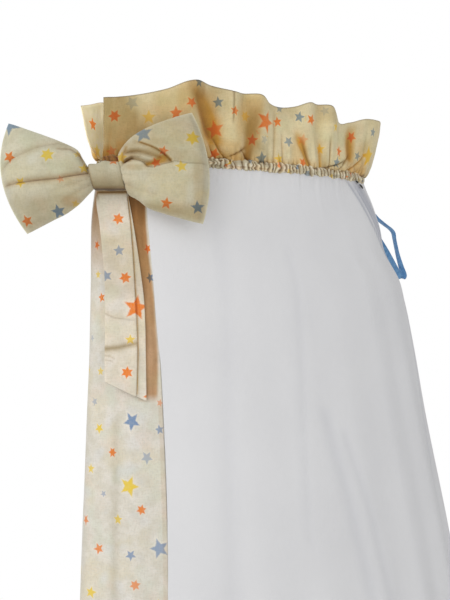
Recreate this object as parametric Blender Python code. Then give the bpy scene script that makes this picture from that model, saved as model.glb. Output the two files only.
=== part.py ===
"""Cot canopy: a sheer net with star-print front edges, a gathered heading with a frill, and a bow.

Metres, +Z up. The heading is a long oval of gathered cloth that runs from its opening at the front,
-Y, to the back, +Y, where the canopy is held. The origin is at the back end of the gathered channel.
The net hangs from the channel and widens downwards. Its two front edges are star-print panels that
hang side by side behind a padded bow with two tails.
"""
import math

import bpy
import numpy as np

# Heights, measured down from the middle of the gathered channel
NET_DROP = 1.500
HEM_UNEVEN = 0.004           # how far the hem rises and falls
HEM_WAVES = 4.5              # rises and falls across one cloth
CHANNEL_HALF_HEIGHT = 0.0058
CHANNEL_HALF_THICKNESS = 0.0032
SEAM = 0.0003                # the parting between two pieces that are sewn together

# Cloth thicknesses
NET_THICK = 0.0012
PRINT_THICK = 0.0016
FRILL_THICK = 0.0018         # the frill is the print folded double
TAIL_THICK = 0.0022

# The oval that the canopy hangs in, at several drops below the channel
OVAL_COLUMNS = ("drop", "front_y", "back_y", "half_width", "front_edge_degrees")
OVAL_ROWS = (
    (0.000, -0.3910, 0.0000, 0.0650, -84.0),
    (0.031, -0.3950, 0.0165, 0.0685, -97.0),
    (0.063, -0.3990, 0.0295, 0.0730, -101.0),
    (0.098, -0.4000, 0.0370, 0.0775, -103.0),
    (0.138, -0.4000, 0.0620, 0.0830, -103.0),
    (0.165, -0.4000, 0.0695, 0.0855, -103.0),
    (0.230, -0.4010, 0.0845, 0.0900, -103.0),
    (0.315, -0.4040, 0.1020, 0.0970, -103.0),
    (0.480, -0.4100, 0.1420, 0.1100, -103.0),
    (0.950, -0.4240, 0.2270, 0.1600, -103.0),
    (1.500, -0.4405, 0.3045, 0.2300, -103.0),
)
SLIT = 0.0080                # the open front, between the two free edges

# The front panels are gathered at the top and hang at their full width lower down
PANEL_COLUMNS = ("drop", "width")
PANEL_ROWS = ((0.000, 0.060), (0.060, 0.083), (0.200, 0.107), (0.430, 0.138), (1.500, 0.140))

# Folds of the net: place from the near seam (0) round the back to the far seam (1), half width as a
# share of the net, and how far the fold stands out at the top third and at the hem (inwards is minus)
FOLD_COLUMNS = ("place", "half_width", "upper", "hem")
NET_FOLDS = (
    (0.035, 0.018, 0.0006, 0.012),
    (0.078, 0.020, -0.0012, -0.014),
    (0.118, 0.017, 0.0014, 0.015),
    (0.160, 0.022, -0.0012, -0.011),
    (0.204, 0.019, 0.0016, 0.017),
    (0.247, 0.021, -0.0018, -0.016),
    (0.288, 0.016, 0.0022, 0.014),
    (0.326, 0.018, -0.0030, -0.018),
    (0.362, 0.015, 0.0034, 0.016),
    (0.398, 0.016, -0.0050, -0.019),
    (0.432, 0.014, 0.0056, 0.019),
    (0.470, 0.017, -0.0090, -0.020),
    (0.512, 0.017, 0.0060, 0.018),
    (0.553, 0.018, -0.0070, -0.017),
    (0.596, 0.019, 0.0055, 0.018),
    (0.640, 0.017, -0.0040, -0.016),
    (0.682, 0.020, 0.0036, 0.015),
    (0.727, 0.018, -0.0030, -0.017),
    (0.769, 0.019, 0.0030, 0.016),
    (0.812, 0.021, -0.0024, -0.014),
    (0.858, 0.018, 0.0022, 0.016),
    (0.901, 0.019, -0.0018, -0.013),
    (0.947, 0.018, 0.0012, 0.011),
)
UPPER_DROP = 0.30            # where a fold has reached its upper depth
FOLD_FADE = 0.03             # the share of a cloth, at each side, where its folds die away

# Folds of a front panel, from its free edge (0) to its seam with the net (1)
PANEL_FOLDS = (
    (0.20, 0.12, 0.0014, 0.005),
    (0.42, 0.10, -0.0022, -0.007),
    (0.68, 0.14, 0.0016, 0.006),
)

# Top edge of the frill, a row for each fold: place round the oval in degrees, how far the edge
# stands out from the channel's line, and its height
FRILL_COLUMNS = ("degrees", "out", "height")
FRILL_ROWS = (
    (-84, -0.0005, 0.0765),
    (-70, -0.0030, 0.0760),
    (-55, -0.0020, 0.0785),
    (-42, 0.0030, 0.0850),
    (-30, 0.0130, 0.0960),
    (-22, -0.0060, 0.0945),
    (-13, 0.0070, 0.0895),
    (-7, -0.0050, 0.0870),
    (-2, 0.0140, 0.0860),
    (3, 0.0020, 0.0790),
    (13, 0.0010, 0.0790),
    (20, 0.0080, 0.0885),
    (26, 0.0000, 0.0865),
    (30.5, 0.0140, 0.0870),
    (35.5, 0.0010, 0.0665),
    (44, 0.0070, 0.0665),
    (55, 0.0150, 0.0740),
    (67, 0.0210, 0.0762),
    (80, 0.0250, 0.0782),
    (92, 0.0120, 0.0840),
    (104, 0.0200, 0.0860),
    (117, 0.0020, 0.0820),
    (130, 0.0120, 0.0870),
    (139, -0.0030, 0.0810),
    (148, 0.0140, 0.0850),
    (156, 0.0010, 0.0780),
    (164, 0.0120, 0.0850),
    (172, -0.0040, 0.0830),
    (180, 0.0130, 0.0880),
    (188, -0.0030, 0.0830),
    (196, 0.0120, 0.0870),
    (206, -0.0020, 0.0820),
    (216, 0.0120, 0.0860),
    (228, 0.0000, 0.0800),
    (241, 0.0090, 0.0800),
    (255, 0.0140, 0.0730),
    (269, 0.0270, 0.0655),
)
FRILL_LIFT = 0.0004          # extra room under the frill's foot, which leans outwards
FRILL_CURL = 0.50            # under 1 the frill puffs out early, close above the channel

# The bow: its middle, the way that it faces, and the ribs of its two wings, in millimetres across
# and up from its middle. A rib runs from the wing's lower edge to its upper edge, and its middle
# bulges away from the knot.
BOW_CENTRE = (0.0389, -0.3997, -0.0240)
BOW_AZIMUTH = 60.0
RIB_COLUMNS = ("top_across", "top_up", "low_across", "low_up", "bulge", "thick")
LEFT_RIBS = (
    (-20.9, 13.0, -14.4, -13.2, 0.0, 19.6),
    (-25.6, 23.0, -20.0, -22.5, 1.0, 27.0),
    (-33.0, 33.3, -31.0, -32.5, 3.0, 33.0),
    (-52.0, 41.0, -46.0, -41.5, 6.0, 37.0),
    (-72.0, 48.5, -60.0, -48.8, 9.0, 38.0),
    (-92.0, 55.5, -74.0, -56.5, 12.5, 34.0),
    (-105.0, 60.0, -84.0, -61.8, 16.0, 24.0),
    (-112.8, 62.5, -90.0, -64.8, 19.0, 6.0),
)
RIGHT_RIBS = (
    (17.5, 13.0, 23.4, -13.2, 0.0, 19.6),
    (18.8, 26.0, 28.2, -20.0, 1.5, 29.0),
    (23.0, 41.0, 36.5, -25.5, 3.0, 34.0),
    (37.0, 52.5, 49.0, -35.0, 5.0, 38.0),
    (57.0, 62.5, 66.0, -41.0, 8.0, 38.0),
    (77.0, 69.5, 85.0, -46.5, 11.0, 34.0),
    (92.0, 74.0, 102.0, -51.0, 13.0, 24.0),
    (99.2, 75.6, 112.0, -53.0, 13.5, 6.0),
)
BACK_SHARE = 0.42            # the share of a wing's thickness that lies behind the bow's middle
CREASE_LIMIT = 0.35          # the deepest crease, as a share of the wing's thickness there
# Creases pressed into the front of the wings: ribs and heights where each starts and ends, its
# depths there and its half width, heights from -1, the lower edge, to 1, the upper edge
CREASE_COLUMNS = ("wing", "rib_in", "rib_out", "up_in", "up_out", "deep_in", "deep_out", "half_width")
CREASES = (
    ("left", 0.6, 7.0, 0.05, -0.14, 5.0, 2.0, 0.14),
    ("left", 3.2, 7.0, 0.72, 0.18, 1.5, 3.0, 0.14),
    ("right", 0.8, 4.2, 0.36, 0.30, 8.0, 5.0, 0.20),
    ("right", 2.0, 7.0, 0.10, 0.06, 5.0, 2.5, 0.13),
)

# The knot is a band round the bow's waist, a little slanted as the waist is
KNOT_LENGTH = 37.0
KNOT_SHIFT = 1.2             # towards the right wing
KNOT_SLANT = -0.22           # across for each millimetre up
KNOT_HALF_HEIGHT = 15.8
KNOT_HALF_DEPTH = 13.6
KNOT_WALL = 1.7
KNOT_CROWN = 0.9
KNOT_EDGE = 1.2              # the width of the rounded edge of the band
KNOT_SHOULDER = 0.7          # the crown halfway to the edge, as a share of the crown at the middle
KNOT_SQUARENESS = 0.8        # 1 is an oval section, less is squarer

# The tails, in millimetres from the bow's middle: a row for each change of outline or crease
TAIL_COLUMNS = ("left", "right", "left_up", "right_up", "back")
FRONT_TAIL = (
    (-10.2, 21.2, -7.0, -7.0, 15.05),
    (-11.4, 22.4, -16.0, -16.0, 13.7),
    (-12.0, 23.0, -22.0, -22.0, 12.9),
    (-8.0, 26.7, -54.0, -54.0, 10.5),
    (-4.6, 29.4, -85.0, -85.0, 8.5),
    (-2.1, 31.3, -114.0, -114.0, 7.1),
    (-2.1, 32.8, -139.0, -139.0, 6.1),
    (-1.8, 34.2, -163.0, -166.0, 4.2),
    (-1.9, 35.2, -186.0, -186.0, 4.1),
    (-2.1, 35.4, -196.0, -196.0, 2.0),
    (-2.1, 35.2, -218.0, -226.0, 1.9),
    (-2.1, 34.5, -236.0, -253.8, 0.7),
)
BACK_TAIL = (
    (-9.2, 21.8, -7.0, -7.0, 17.65),
    (-9.0, 23.4, -16.0, -16.0, 16.6),
    (-8.8, 24.6, -22.0, -22.0, 15.8),
    (-4.6, 30.5, -54.0, -54.0, 13.4),
    (0.2, 35.6, -85.0, -85.0, 11.4),
    (4.6, 39.8, -114.0, -114.0, 10.0),
    (7.6, 42.9, -139.0, -139.0, 9.0),
    (9.2, 44.6, -166.0, -170.0, 7.8),
    (10.2, 45.4, -200.0, -208.0, 6.2),
    (10.8, 46.4, -242.0, -258.9, 3.5),
)

# The ribbon loop at the back: its middle line in y and z, hung beside the oval's back end
RIBBON_X = -0.0120
RIBBON_WIDTH = 0.0100
RIBBON_THICK = 0.0011
RIBBON_FACING = (0.82, 0.57, 0.0)
RIBBON_TOP = (0.0014, 0.0020)
RIBBON_ROUTE = (
    (0.0080, -0.0080),
    (0.0270, -0.0310),
    (0.0467, -0.0523),
    (0.0572, -0.0590),
    (0.0660, -0.0667),
    (0.0694, -0.0798),
    (0.0739, -0.0942),
    (0.0794, -0.1086),
    (0.0860, -0.1276),
    (0.0845, -0.1365),
    (0.0760, -0.1250),
    (0.0681, -0.1110),
    (0.0572, -0.0978),
    (0.0474, -0.0858),
    (0.0365, -0.0667),
    (0.0250, -0.0440),
    (0.0110, -0.0210),
)
MM = 0.001

# The gathers of the channel: how far the tube narrows between two of them, and how that varies
CHANNEL_RUCHES = 62
RUCHE_RISE = 0.16
RUCHE_MEAN = 0.62
RUCHE_SPREAD = 0.38

# Mesh steps
OVAL_STEPS = 1440
NET_COLUMNS_ROUND = 104
NET_ROWS_DOWN = 13
NET_ROW_CROWDING = 1.35      # over 1 the rows lie closer together near the channel
PANEL_COLUMNS_ACROSS = 9
FRILL_STEPS_ROUND = 132
FRILL_STEPS_UP = 5
FRILL_ROW_CROWDING = 1.6     # over 1 the rows lie closer together near the channel
CHANNEL_SIDES = 6
RING_POINTS = 32
TAIL_POINTS_ACROSS = 5
RIBBON_STEPS = 3


def smooth(at, knots, values):
    """Cubic curve through the knots, whose slope at each knot comes from its neighbours."""
    knots, values = np.asarray(knots, float), np.asarray(values, float)
    slopes = np.gradient(values, knots)
    cell = np.clip(np.searchsorted(knots, at) - 1, 0, len(knots) - 2)
    width = knots[cell + 1] - knots[cell]
    share = (at - knots[cell]) / width
    rise = 3 * share**2 - 2 * share**3
    start = (share**3 - 2 * share**2 + share) * width * slopes[cell]
    end = (share**3 - share**2) * width * slopes[cell + 1]
    return values[cell] * (1 - rise) + values[cell + 1] * rise + start + end


def table(columns, rows):
    """The rows as arrays, one for each named column."""
    return {name: np.array([row[place] for row in rows]) for place, name in enumerate(columns)}


def cloth_material(name, colour, roughness, alpha=1.0):
    """A plain cloth finish."""
    material = bpy.data.materials.new(name)
    material.use_nodes = True
    shader = material.node_tree.nodes["Principled BSDF"]
    shader.inputs["Base Color"].default_value = (*colour, 1.0)
    shader.inputs["Roughness"].default_value = roughness
    shader.inputs["Metallic"].default_value = 0.0
    shader.inputs["Alpha"].default_value = alpha
    return material


def add_object(name, points, faces, material):
    """One smooth-shaded object from points and faces."""
    mesh = bpy.data.meshes.new(name)
    mesh.from_pydata(points.tolist(), [], faces)
    mesh.materials.append(material)
    mesh.shade_smooth()
    made = bpy.data.objects.new(name, mesh)
    bpy.context.scene.collection.objects.link(made)
    return made


def cell_triangles(rows, columns):
    """Two triangles for each cell of a grid, by the points' numbers along the rows."""
    triangles = []
    for row in range(rows - 1):
        for column in range(columns - 1):
            a = row * columns + column
            b, c, d = a + 1, a + columns + 1, a + columns
            triangles += [(a, b, c), (a, c, d)]
    return triangles


def add_sheet(name, grid, thickness, material):
    """A cloth of even thickness with the grid of points as its middle, closed along its edges."""
    rows, columns = grid.shape[:2]
    normal = np.cross(np.gradient(grid, axis=0), np.gradient(grid, axis=1))
    normal /= np.linalg.norm(normal, axis=2, keepdims=True)
    points = np.concatenate([grid + normal * thickness / 2, grid - normal * thickness / 2])
    count = rows * columns
    front = cell_triangles(rows, columns)
    faces = [face[::-1] for face in front] + [tuple(p + count for p in face) for face in front]
    rim = list(range(columns))
    rim += [row * columns + columns - 1 for row in range(1, rows)]
    rim += [(rows - 1) * columns + column for column in range(columns - 2, -1, -1)]
    rim += [row * columns for row in range(rows - 2, 0, -1)]
    for here, there in zip(rim, rim[1:] + rim[:1]):
        faces += [(here, there, there + count), (here, there + count, here + count)]
    return add_object(name, points.reshape(-1, 3), faces, material)


def oval_at(drop):
    """The oval at one drop: its angles, points and lengths from the near free edge round to the far."""
    oval = table(OVAL_COLUMNS, OVAL_ROWS)
    front_y, back_y, half_width, start = (
        smooth(drop, oval["drop"], oval[name]) for name in OVAL_COLUMNS[1:])
    half_length, centre_y = (back_y - front_y) / 2, (back_y + front_y) / 2
    angle = np.radians(np.linspace(start, start + 360, OVAL_STEPS + 1))
    x = half_width * np.cos(angle)
    y = centre_y + half_length * np.sin(angle)
    outward = np.stack([np.cos(angle) / half_width, np.sin(angle) / half_length], axis=1)
    outward /= np.linalg.norm(outward, axis=1, keepdims=True)
    length = np.concatenate([[0.0], np.cumsum(np.hypot(np.diff(x), np.diff(y)))])
    return {"angle": angle, "x": x, "y": y, "out_x": outward[:, 0], "out_y": outward[:, 1],
            "length": length, "whole": length[-1] - SLIT}


def oval_points(drop, along, out):
    """Points at lengths along the oval at one drop, moved outwards by out."""
    oval = oval_at(drop)
    x, y, out_x, out_y = (np.interp(along, oval["length"], oval[name])
                          for name in ("x", "y", "out_x", "out_y"))
    return x + out * out_x, y + out * out_y


def fold_depth(folds, place, drop):
    """How far the cloth stands out at each place across it, at one drop: a soft hump for each fold."""
    fold = table(FOLD_COLUMNS, folds)
    deep = [np.interp(drop, (0.0, UPPER_DROP, NET_DROP), (0.0, upper, hem))
            for upper, hem in zip(fold["upper"], fold["hem"])]
    share = (place[:, None] - fold["place"]) / fold["half_width"]
    fade = np.clip(np.minimum(place, 1 - place) / FOLD_FADE, 0, 1)
    return (np.exp(-share**2) * deep).sum(axis=1) * fade


def hanging_grid(start_of, end_of, folds, columns):
    """The middle of a hanging cloth, from the channel down to the hem, between two lengths."""
    top = CHANNEL_HALF_HEIGHT + SEAM
    drops = top + (NET_DROP - top) * (np.linspace(0, 1, NET_ROWS_DOWN + 1) ** NET_ROW_CROWDING)
    place = np.linspace(0, 1, columns + 1)
    grid = np.empty((len(drops), columns + 1, 3))
    for row, drop in enumerate(drops):
        whole = oval_at(drop)["whole"]
        along = start_of(drop, whole) + place * (end_of(drop, whole) - start_of(drop, whole))
        grid[row, :, 0], grid[row, :, 1] = oval_points(drop, along, fold_depth(folds, place, drop))
        hem_wave = HEM_UNEVEN * np.sin(2 * np.pi * HEM_WAVES * place) * (drop / NET_DROP) ** 4
        grid[row, :, 2] = -drop + hem_wave
    return grid


def panel_width(drop):
    """Width of a front panel, along the oval, at one drop."""
    panel = table(PANEL_COLUMNS, PANEL_ROWS)
    return float(smooth(drop, panel["drop"], panel["width"]))


def make_net(material):
    """The sheer net, from the near panel round the back to the far panel."""
    grid = hanging_grid(lambda drop, whole: panel_width(drop) + 2 * SEAM,
                        lambda drop, whole: whole - panel_width(drop) - 2 * SEAM,
                        NET_FOLDS, NET_COLUMNS_ROUND)
    return add_sheet("net_panel", grid, NET_THICK, material)


def make_panels(material):
    """The two star-print front panels, near and far."""
    near = hanging_grid(lambda drop, whole: 0.0,
                        lambda drop, whole: panel_width(drop),
                        PANEL_FOLDS, PANEL_COLUMNS_ACROSS)
    far = hanging_grid(lambda drop, whole: whole - panel_width(drop),
                       lambda drop, whole: whole,
                       PANEL_FOLDS, PANEL_COLUMNS_ACROSS)
    add_sheet("trim_near", near, PRINT_THICK, material)
    add_sheet("trim_far", far, PRINT_THICK, material)


def make_frill(material):
    """The frill: it rises from the channel and waves between the crests and hollows of its edge."""
    frill = table(FRILL_COLUMNS, FRILL_ROWS)
    oval = oval_at(0.0)
    whole = oval["whole"]
    along = np.linspace(0, whole, FRILL_STEPS_ROUND + 1)
    degrees = np.degrees(np.interp(along, oval["length"], oval["angle"]))
    edge_out = smooth(degrees, frill["degrees"], frill["out"])
    edge_height = smooth(degrees, frill["degrees"], frill["height"])
    foot = CHANNEL_HALF_HEIGHT + SEAM + FRILL_LIFT
    grid = np.empty((FRILL_STEPS_UP + 1, len(along), 3))
    for row, rise in enumerate(np.linspace(1, 0, FRILL_STEPS_UP + 1) ** FRILL_ROW_CROWDING):
        grid[row, :, 0], grid[row, :, 1] = oval_points(0.0, along, edge_out * rise**FRILL_CURL)
        grid[row, :, 2] = foot + (edge_height - foot) * rise
    return add_sheet("heading_frill", grid, FRILL_THICK, material)


def make_channel(material):
    """The gathered channel: a soft tube round the oval, ruched so that its edges are bumpy."""
    whole = oval_at(0.0)["whole"]
    rings = 2 * CHANNEL_RUCHES + 1
    step = np.arange(rings)
    along = np.linspace(0.0, whole, rings)
    unevenness = RUCHE_MEAN + RUCHE_SPREAD * np.sin(1.9 * step) * np.cos(0.73 * step)
    size = 1.0 - RUCHE_RISE * (step % 2) * unevenness
    turn = 2 * np.pi * (np.arange(CHANNEL_SIDES) + 0.5) / CHANNEL_SIDES
    wide = CHANNEL_HALF_THICKNESS / math.cos(math.pi / CHANNEL_SIDES)
    points = np.empty((rings, CHANNEL_SIDES, 3))
    for side, angle in enumerate(turn):
        out = wide * np.cos(angle) * size
        points[:, side, 0], points[:, side, 1] = oval_points(0.0, along, out)
        points[:, side, 2] = CHANNEL_HALF_HEIGHT * np.sin(angle) * size
    faces = []
    for ring in range(rings - 1):
        for side in range(CHANNEL_SIDES):
            a = ring * CHANNEL_SIDES + side
            b = ring * CHANNEL_SIDES + (side + 1) % CHANNEL_SIDES
            faces += [(a, a + CHANNEL_SIDES, b + CHANNEL_SIDES), (a, b + CHANNEL_SIDES, b)]
    last = (rings - 1) * CHANNEL_SIDES
    faces += [tuple(range(CHANNEL_SIDES)), tuple(last + side for side in range(CHANNEL_SIDES))[::-1]]
    return add_object("shirred_channel", points.reshape(-1, 3), faces, material)


def bow_space(across, up, out):
    """Places given across, up and out from the bow's middle, in millimetres, as points."""
    turn = math.radians(BOW_AZIMUTH)
    across_way = np.array([math.cos(turn), math.sin(turn), 0.0])
    out_way = np.array([math.sin(turn), -math.cos(turn), 0.0])
    place = np.multiply.outer(across, across_way) + np.multiply.outer(out, out_way)
    place[..., 2] += up
    return np.array(BOW_CENTRE) + MM * place


def crease_depth(wing, rib, height):
    """How deep the creases press into the front of one rib, at heights from -1 to 1."""
    deep = np.zeros_like(height)
    for row in CREASES:
        crease = dict(zip(CREASE_COLUMNS, row))
        if crease["wing"] != wing or not crease["rib_in"] <= rib <= crease["rib_out"]:
            continue
        share = (rib - crease["rib_in"]) / (crease["rib_out"] - crease["rib_in"])
        middle = crease["up_in"] + share * (crease["up_out"] - crease["up_in"])
        depth = crease["deep_in"] + share * (crease["deep_out"] - crease["deep_in"])
        deep += depth * np.exp(-((height - middle) / crease["half_width"]) ** 2)
    return deep


def wing_rings(wing, ribs):
    """Closed rings of points round a wing, one for each rib, from the knot outwards."""
    rib = table(RIB_COLUMNS, ribs)
    side = -1.0 if wing == "left" else 1.0
    turn = 2 * np.pi * np.arange(RING_POINTS) / RING_POINTS
    even = 1 - 2 * np.minimum(turn, 2 * np.pi - turn) / np.pi
    height = (np.cos(turn) + even) / 2
    lift = (height + 1) / 2
    rings = []
    for number in range(len(ribs)):
        row = {name: values[number] for name, values in rib.items()}
        across = row["low_across"] + lift * (row["top_across"] - row["low_across"])
        across = across + side * row["bulge"] * (1 - height**2)
        up = row["low_up"] + lift * (row["top_up"] - row["low_up"])
        full = (1 - height**2) ** 0.5
        crease = np.minimum(crease_depth(wing, number, height), CREASE_LIMIT * full * row["thick"])
        front = full * row["thick"] * (1 - BACK_SHARE) - crease
        out = np.where(np.sin(turn) > 0, front, -full * row["thick"] * BACK_SHARE)
        rings.append(bow_space(across, up, out))
    return rings


def make_bow(material):
    """The padded bow: both wings and the waist between them, as one filled piece."""
    rings = wing_rings("left", LEFT_RIBS)[::-1] + wing_rings("right", RIGHT_RIBS)
    faces = []
    for ring in range(len(rings) - 1):
        for side in range(RING_POINTS):
            a = ring * RING_POINTS + side
            b = ring * RING_POINTS + (side + 1) % RING_POINTS
            faces += [(a, b + RING_POINTS, a + RING_POINTS), (a, b, b + RING_POINTS)]
    half = RING_POINTS // 2
    last = (len(rings) - 1) * RING_POINTS
    for base, flip in ((0, True), (last, False)):
        for front in range(half):
            a, b = base + front, base + front + 1
            c, d = base + (RING_POINTS - front - 1), base + (RING_POINTS - front) % RING_POINTS
            cap = tuple(dict.fromkeys((a, b, c, d)))
            faces.append(cap[::-1] if flip else cap)
    return add_object("bow_loops", np.concatenate(rings), faces, material)


def make_knot(material):
    """The knot: a soft band wrapped round the waist, crowned a little along its middle."""
    turn = 2 * np.pi * np.arange(RING_POINTS) / RING_POINTS
    round_up = np.sign(np.cos(turn)) * np.abs(np.cos(turn)) ** KNOT_SQUARENESS
    round_out = np.sign(np.sin(turn)) * np.abs(np.sin(turn)) ** KNOT_SQUARENESS
    half = KNOT_LENGTH / 2
    shoulder = KNOT_WALL + KNOT_SHOULDER * KNOT_CROWN
    outline = ((-half, 0.0), (-half + KNOT_EDGE, KNOT_WALL), (-half / 2, shoulder),
               (0.0, KNOT_WALL + KNOT_CROWN), (half / 2, shoulder), (half - KNOT_EDGE, KNOT_WALL),
               (half, 0.0))
    points = []
    for along, swell in outline:
        up = (KNOT_HALF_HEIGHT - KNOT_WALL + swell) * round_up
        out = (KNOT_HALF_DEPTH - KNOT_WALL + swell) * round_out
        points.append(bow_space(along + KNOT_SHIFT + KNOT_SLANT * up, up, out))
    faces = []
    for ring in range(len(outline)):
        following = (ring + 1) % len(outline)
        for side in range(RING_POINTS):
            beside = (side + 1) % RING_POINTS
            a, b = ring * RING_POINTS + side, following * RING_POINTS + side
            c, d = following * RING_POINTS + beside, ring * RING_POINTS + beside
            faces += [(a, c, b), (a, d, c)]
    return add_object("bow_knot", np.concatenate(points), faces, material)


def make_tail(name, rows, material):
    """One tail of the bow: a flat double strip with a slanted end, creased across."""
    tail = table(TAIL_COLUMNS, rows)
    share = np.linspace(0, 1, TAIL_POINTS_ACROSS)
    across = tail["left"][:, None] + share * (tail["right"] - tail["left"])[:, None]
    up = tail["left_up"][:, None] + share * (tail["right_up"] - tail["left_up"])[:, None]
    back = np.repeat(tail["back"][:, None], len(share), axis=1)
    return add_sheet(name, bow_space(across, up, -back), TAIL_THICK, material)


def make_ribbon(material):
    """The blue ribbon loop: a closed flat band whose two ends are sewn together at the channel."""
    route = np.array((RIBBON_TOP,) + RIBBON_ROUTE)
    count = RIBBON_STEPS * len(route)
    step = np.arange(-3, len(route) + 4)
    fine = np.arange(count) / RIBBON_STEPS
    line = np.stack([np.full(count, RIBBON_X)]
                    + [smooth(fine, step, route[step % len(route), axis]) for axis in (0, 1)], axis=1)
    run = np.roll(line, -1, axis=0) - np.roll(line, 1, axis=0)
    run /= np.linalg.norm(run, axis=1, keepdims=True)
    facing = np.array(RIBBON_FACING)
    wide = facing - run * (run @ facing)[:, None]
    wide /= np.linalg.norm(wide, axis=1, keepdims=True)
    thick = np.cross(run, wide)
    corners = ((-1, -1), (1, -1), (1, 1), (-1, 1))
    points = np.stack([line + wide * across * RIBBON_WIDTH / 2 + thick * through * RIBBON_THICK / 2
                       for across, through in corners], axis=1)
    faces = []
    for ring in range(count):
        following = (ring + 1) % count
        for side in range(4):
            beside = (side + 1) % 4
            a, b = ring * 4 + side, following * 4 + side
            c, d = following * 4 + beside, ring * 4 + beside
            faces += [(a, c, b), (a, d, c)]
    return add_object("ribbon_loop", points.reshape(-1, 3), faces, material)


def build():
    """Clears the scene and makes every piece of the canopy."""
    for old in list(bpy.data.objects):
        bpy.data.objects.remove(old)
    net = cloth_material("sheer net", (0.66, 0.66, 0.68), 0.90, 0.75)
    cotton = cloth_material("star print cotton", (0.74, 0.66, 0.48), 0.85)
    satin = cloth_material("blue ribbon", (0.08, 0.22, 0.50), 0.45)
    make_net(net)
    make_panels(cotton)
    make_frill(cotton)
    make_channel(cotton)
    make_bow(cotton)
    make_knot(cotton)
    make_tail("tail_front", FRONT_TAIL, cotton)
    make_tail("tail_back", BACK_TAIL, cotton)
    make_ribbon(satin)


build()
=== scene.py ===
"""Cot canopy looks: sheer net, star-print cotton, gathered frill and channel, padded bow, ribbon.

Every piece is a surface on its solid's folds, written as arrays of points from short tables of
folds, and each carries its place on the flat cloth, in metres, as its UV.
"""
import math

import bpy
import numpy as np
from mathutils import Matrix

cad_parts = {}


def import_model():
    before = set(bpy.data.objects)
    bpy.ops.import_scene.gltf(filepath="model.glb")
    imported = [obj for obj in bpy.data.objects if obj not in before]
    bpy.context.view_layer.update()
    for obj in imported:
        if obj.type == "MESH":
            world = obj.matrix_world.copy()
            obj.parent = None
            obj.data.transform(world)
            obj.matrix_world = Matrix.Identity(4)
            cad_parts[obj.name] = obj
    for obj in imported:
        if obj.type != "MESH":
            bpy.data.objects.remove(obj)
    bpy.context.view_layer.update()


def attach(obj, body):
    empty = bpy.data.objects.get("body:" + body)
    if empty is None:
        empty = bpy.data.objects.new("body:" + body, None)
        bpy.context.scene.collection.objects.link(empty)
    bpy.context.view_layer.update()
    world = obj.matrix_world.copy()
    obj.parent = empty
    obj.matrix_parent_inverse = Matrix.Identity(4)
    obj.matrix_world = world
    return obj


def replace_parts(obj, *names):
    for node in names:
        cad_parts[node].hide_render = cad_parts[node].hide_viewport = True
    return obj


MM = 0.001

# --- the oval that the canopy hangs in
OVAL_COLUMNS = ("drop", "front_y", "back_y", "half_width", "front_edge_degrees")
OVAL_ROWS = (
    (0, -0.391, -0.004, 0.065, -84), (0.031, -0.395, 0.013, 0.0685, -97), (0.063, -0.399, 0.0262, 0.073, -101),
    (0.098, -0.4, 0.0345, 0.0775, -103), (0.138, -0.4, 0.0602, 0.083, -103), (0.165, -0.4, 0.0685, 0.0855, -103),
    (0.23, -0.401, 0.0845, 0.09, -103), (0.315, -0.404, 0.102, 0.097, -103), (0.48, -0.41, 0.142, 0.11, -103),
    (0.95, -0.424, 0.227, 0.16, -103), (1.5, -0.4405, 0.3045, 0.23, -103),
)
OVAL_STEPS = 1440
FLOOR = -1.512
SLIT = 0.0080                # between the two free front edges
CLOTH_TOP = 0.0035           # how far under the channel's middle the hanging cloths begin
PANEL_FLAT = 0.14            # width of a front panel laid flat
NET_DROP = 1.500
NET_HEM = (1.4838, 1.4850)   # drops between which the net's hem begins
FOOT_HEM = (1.4838, 1.4855)  # drops between which a front panel's hem begins
SIDE_HEM = (0.0095, 0.0112)  # lengths from its free edge between which its side hem ends
PANEL_HALF = 0.28            # half its thickness in millimetres, and how much more in its hem
HEM_MORE = 0.30
CHANNEL_HALF_HEIGHT = 0.0058
CHANNEL_HALF_THICKNESS = 0.0032
PANEL_COLUMNS = ("drop", "width")
PANEL_ROWS = (
    (0, 0.062), (0.06, 0.085), (0.2, 0.107), (0.3, 0.119), (0.43, 0.132), (1.5, 0.135),
)

# Long folds: place across the cloth, half width as a share of it, how far out at UPPER_DROP and at the
# hem, in metres
FOLD_COLUMNS = ("place", "half_width", "upper", "hem")
NET_FOLDS = (
    (0.035, 0.018, 0.00018, 0.012), (0.078, 0.02, -0.00036, -0.014), (0.118, 0.017, 0.00042, 0.015),
    (0.16, 0.022, -0.00036, -0.011), (0.204, 0.019, 0.00048, 0.017), (0.247, 0.021, -0.00054, -0.016),
    (0.288, 0.016, 0.00066, 0.014), (0.326, 0.018, -0.0009, -0.018), (0.362, 0.015, 0.00102, 0.016),
    (0.398, 0.016, -0.0015, -0.019), (0.432, 0.014, 0.00168, 0.019), (0.47, 0.017, -0.0027, -0.02),
    (0.512, 0.017, 0.0018, 0.018), (0.553, 0.018, -0.0021, -0.017), (0.596, 0.019, 0.00165, 0.018),
    (0.64, 0.017, -0.0012, -0.016), (0.682, 0.02, 0.00108, 0.015), (0.727, 0.018, -0.0009, -0.017),
    (0.769, 0.019, 0.0009, 0.016), (0.812, 0.021, -0.00072, -0.014), (0.858, 0.018, 0.00066, 0.016),
    (0.901, 0.019, -0.00054, -0.013), (0.947, 0.018, 0.00036, 0.011),
)
PANEL_FOLDS = (
    (0.2, 0.12, 0.0014, 0.005), (0.42, 0.1, -0.0022, -0.007), (0.68, 0.14, 0.0016, 0.006),
)
UPPER_DROP = 0.30
FOLD_FADE = 0.03
HEM_UNEVEN = 0.004
HEM_WAVES = 4.5

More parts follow.
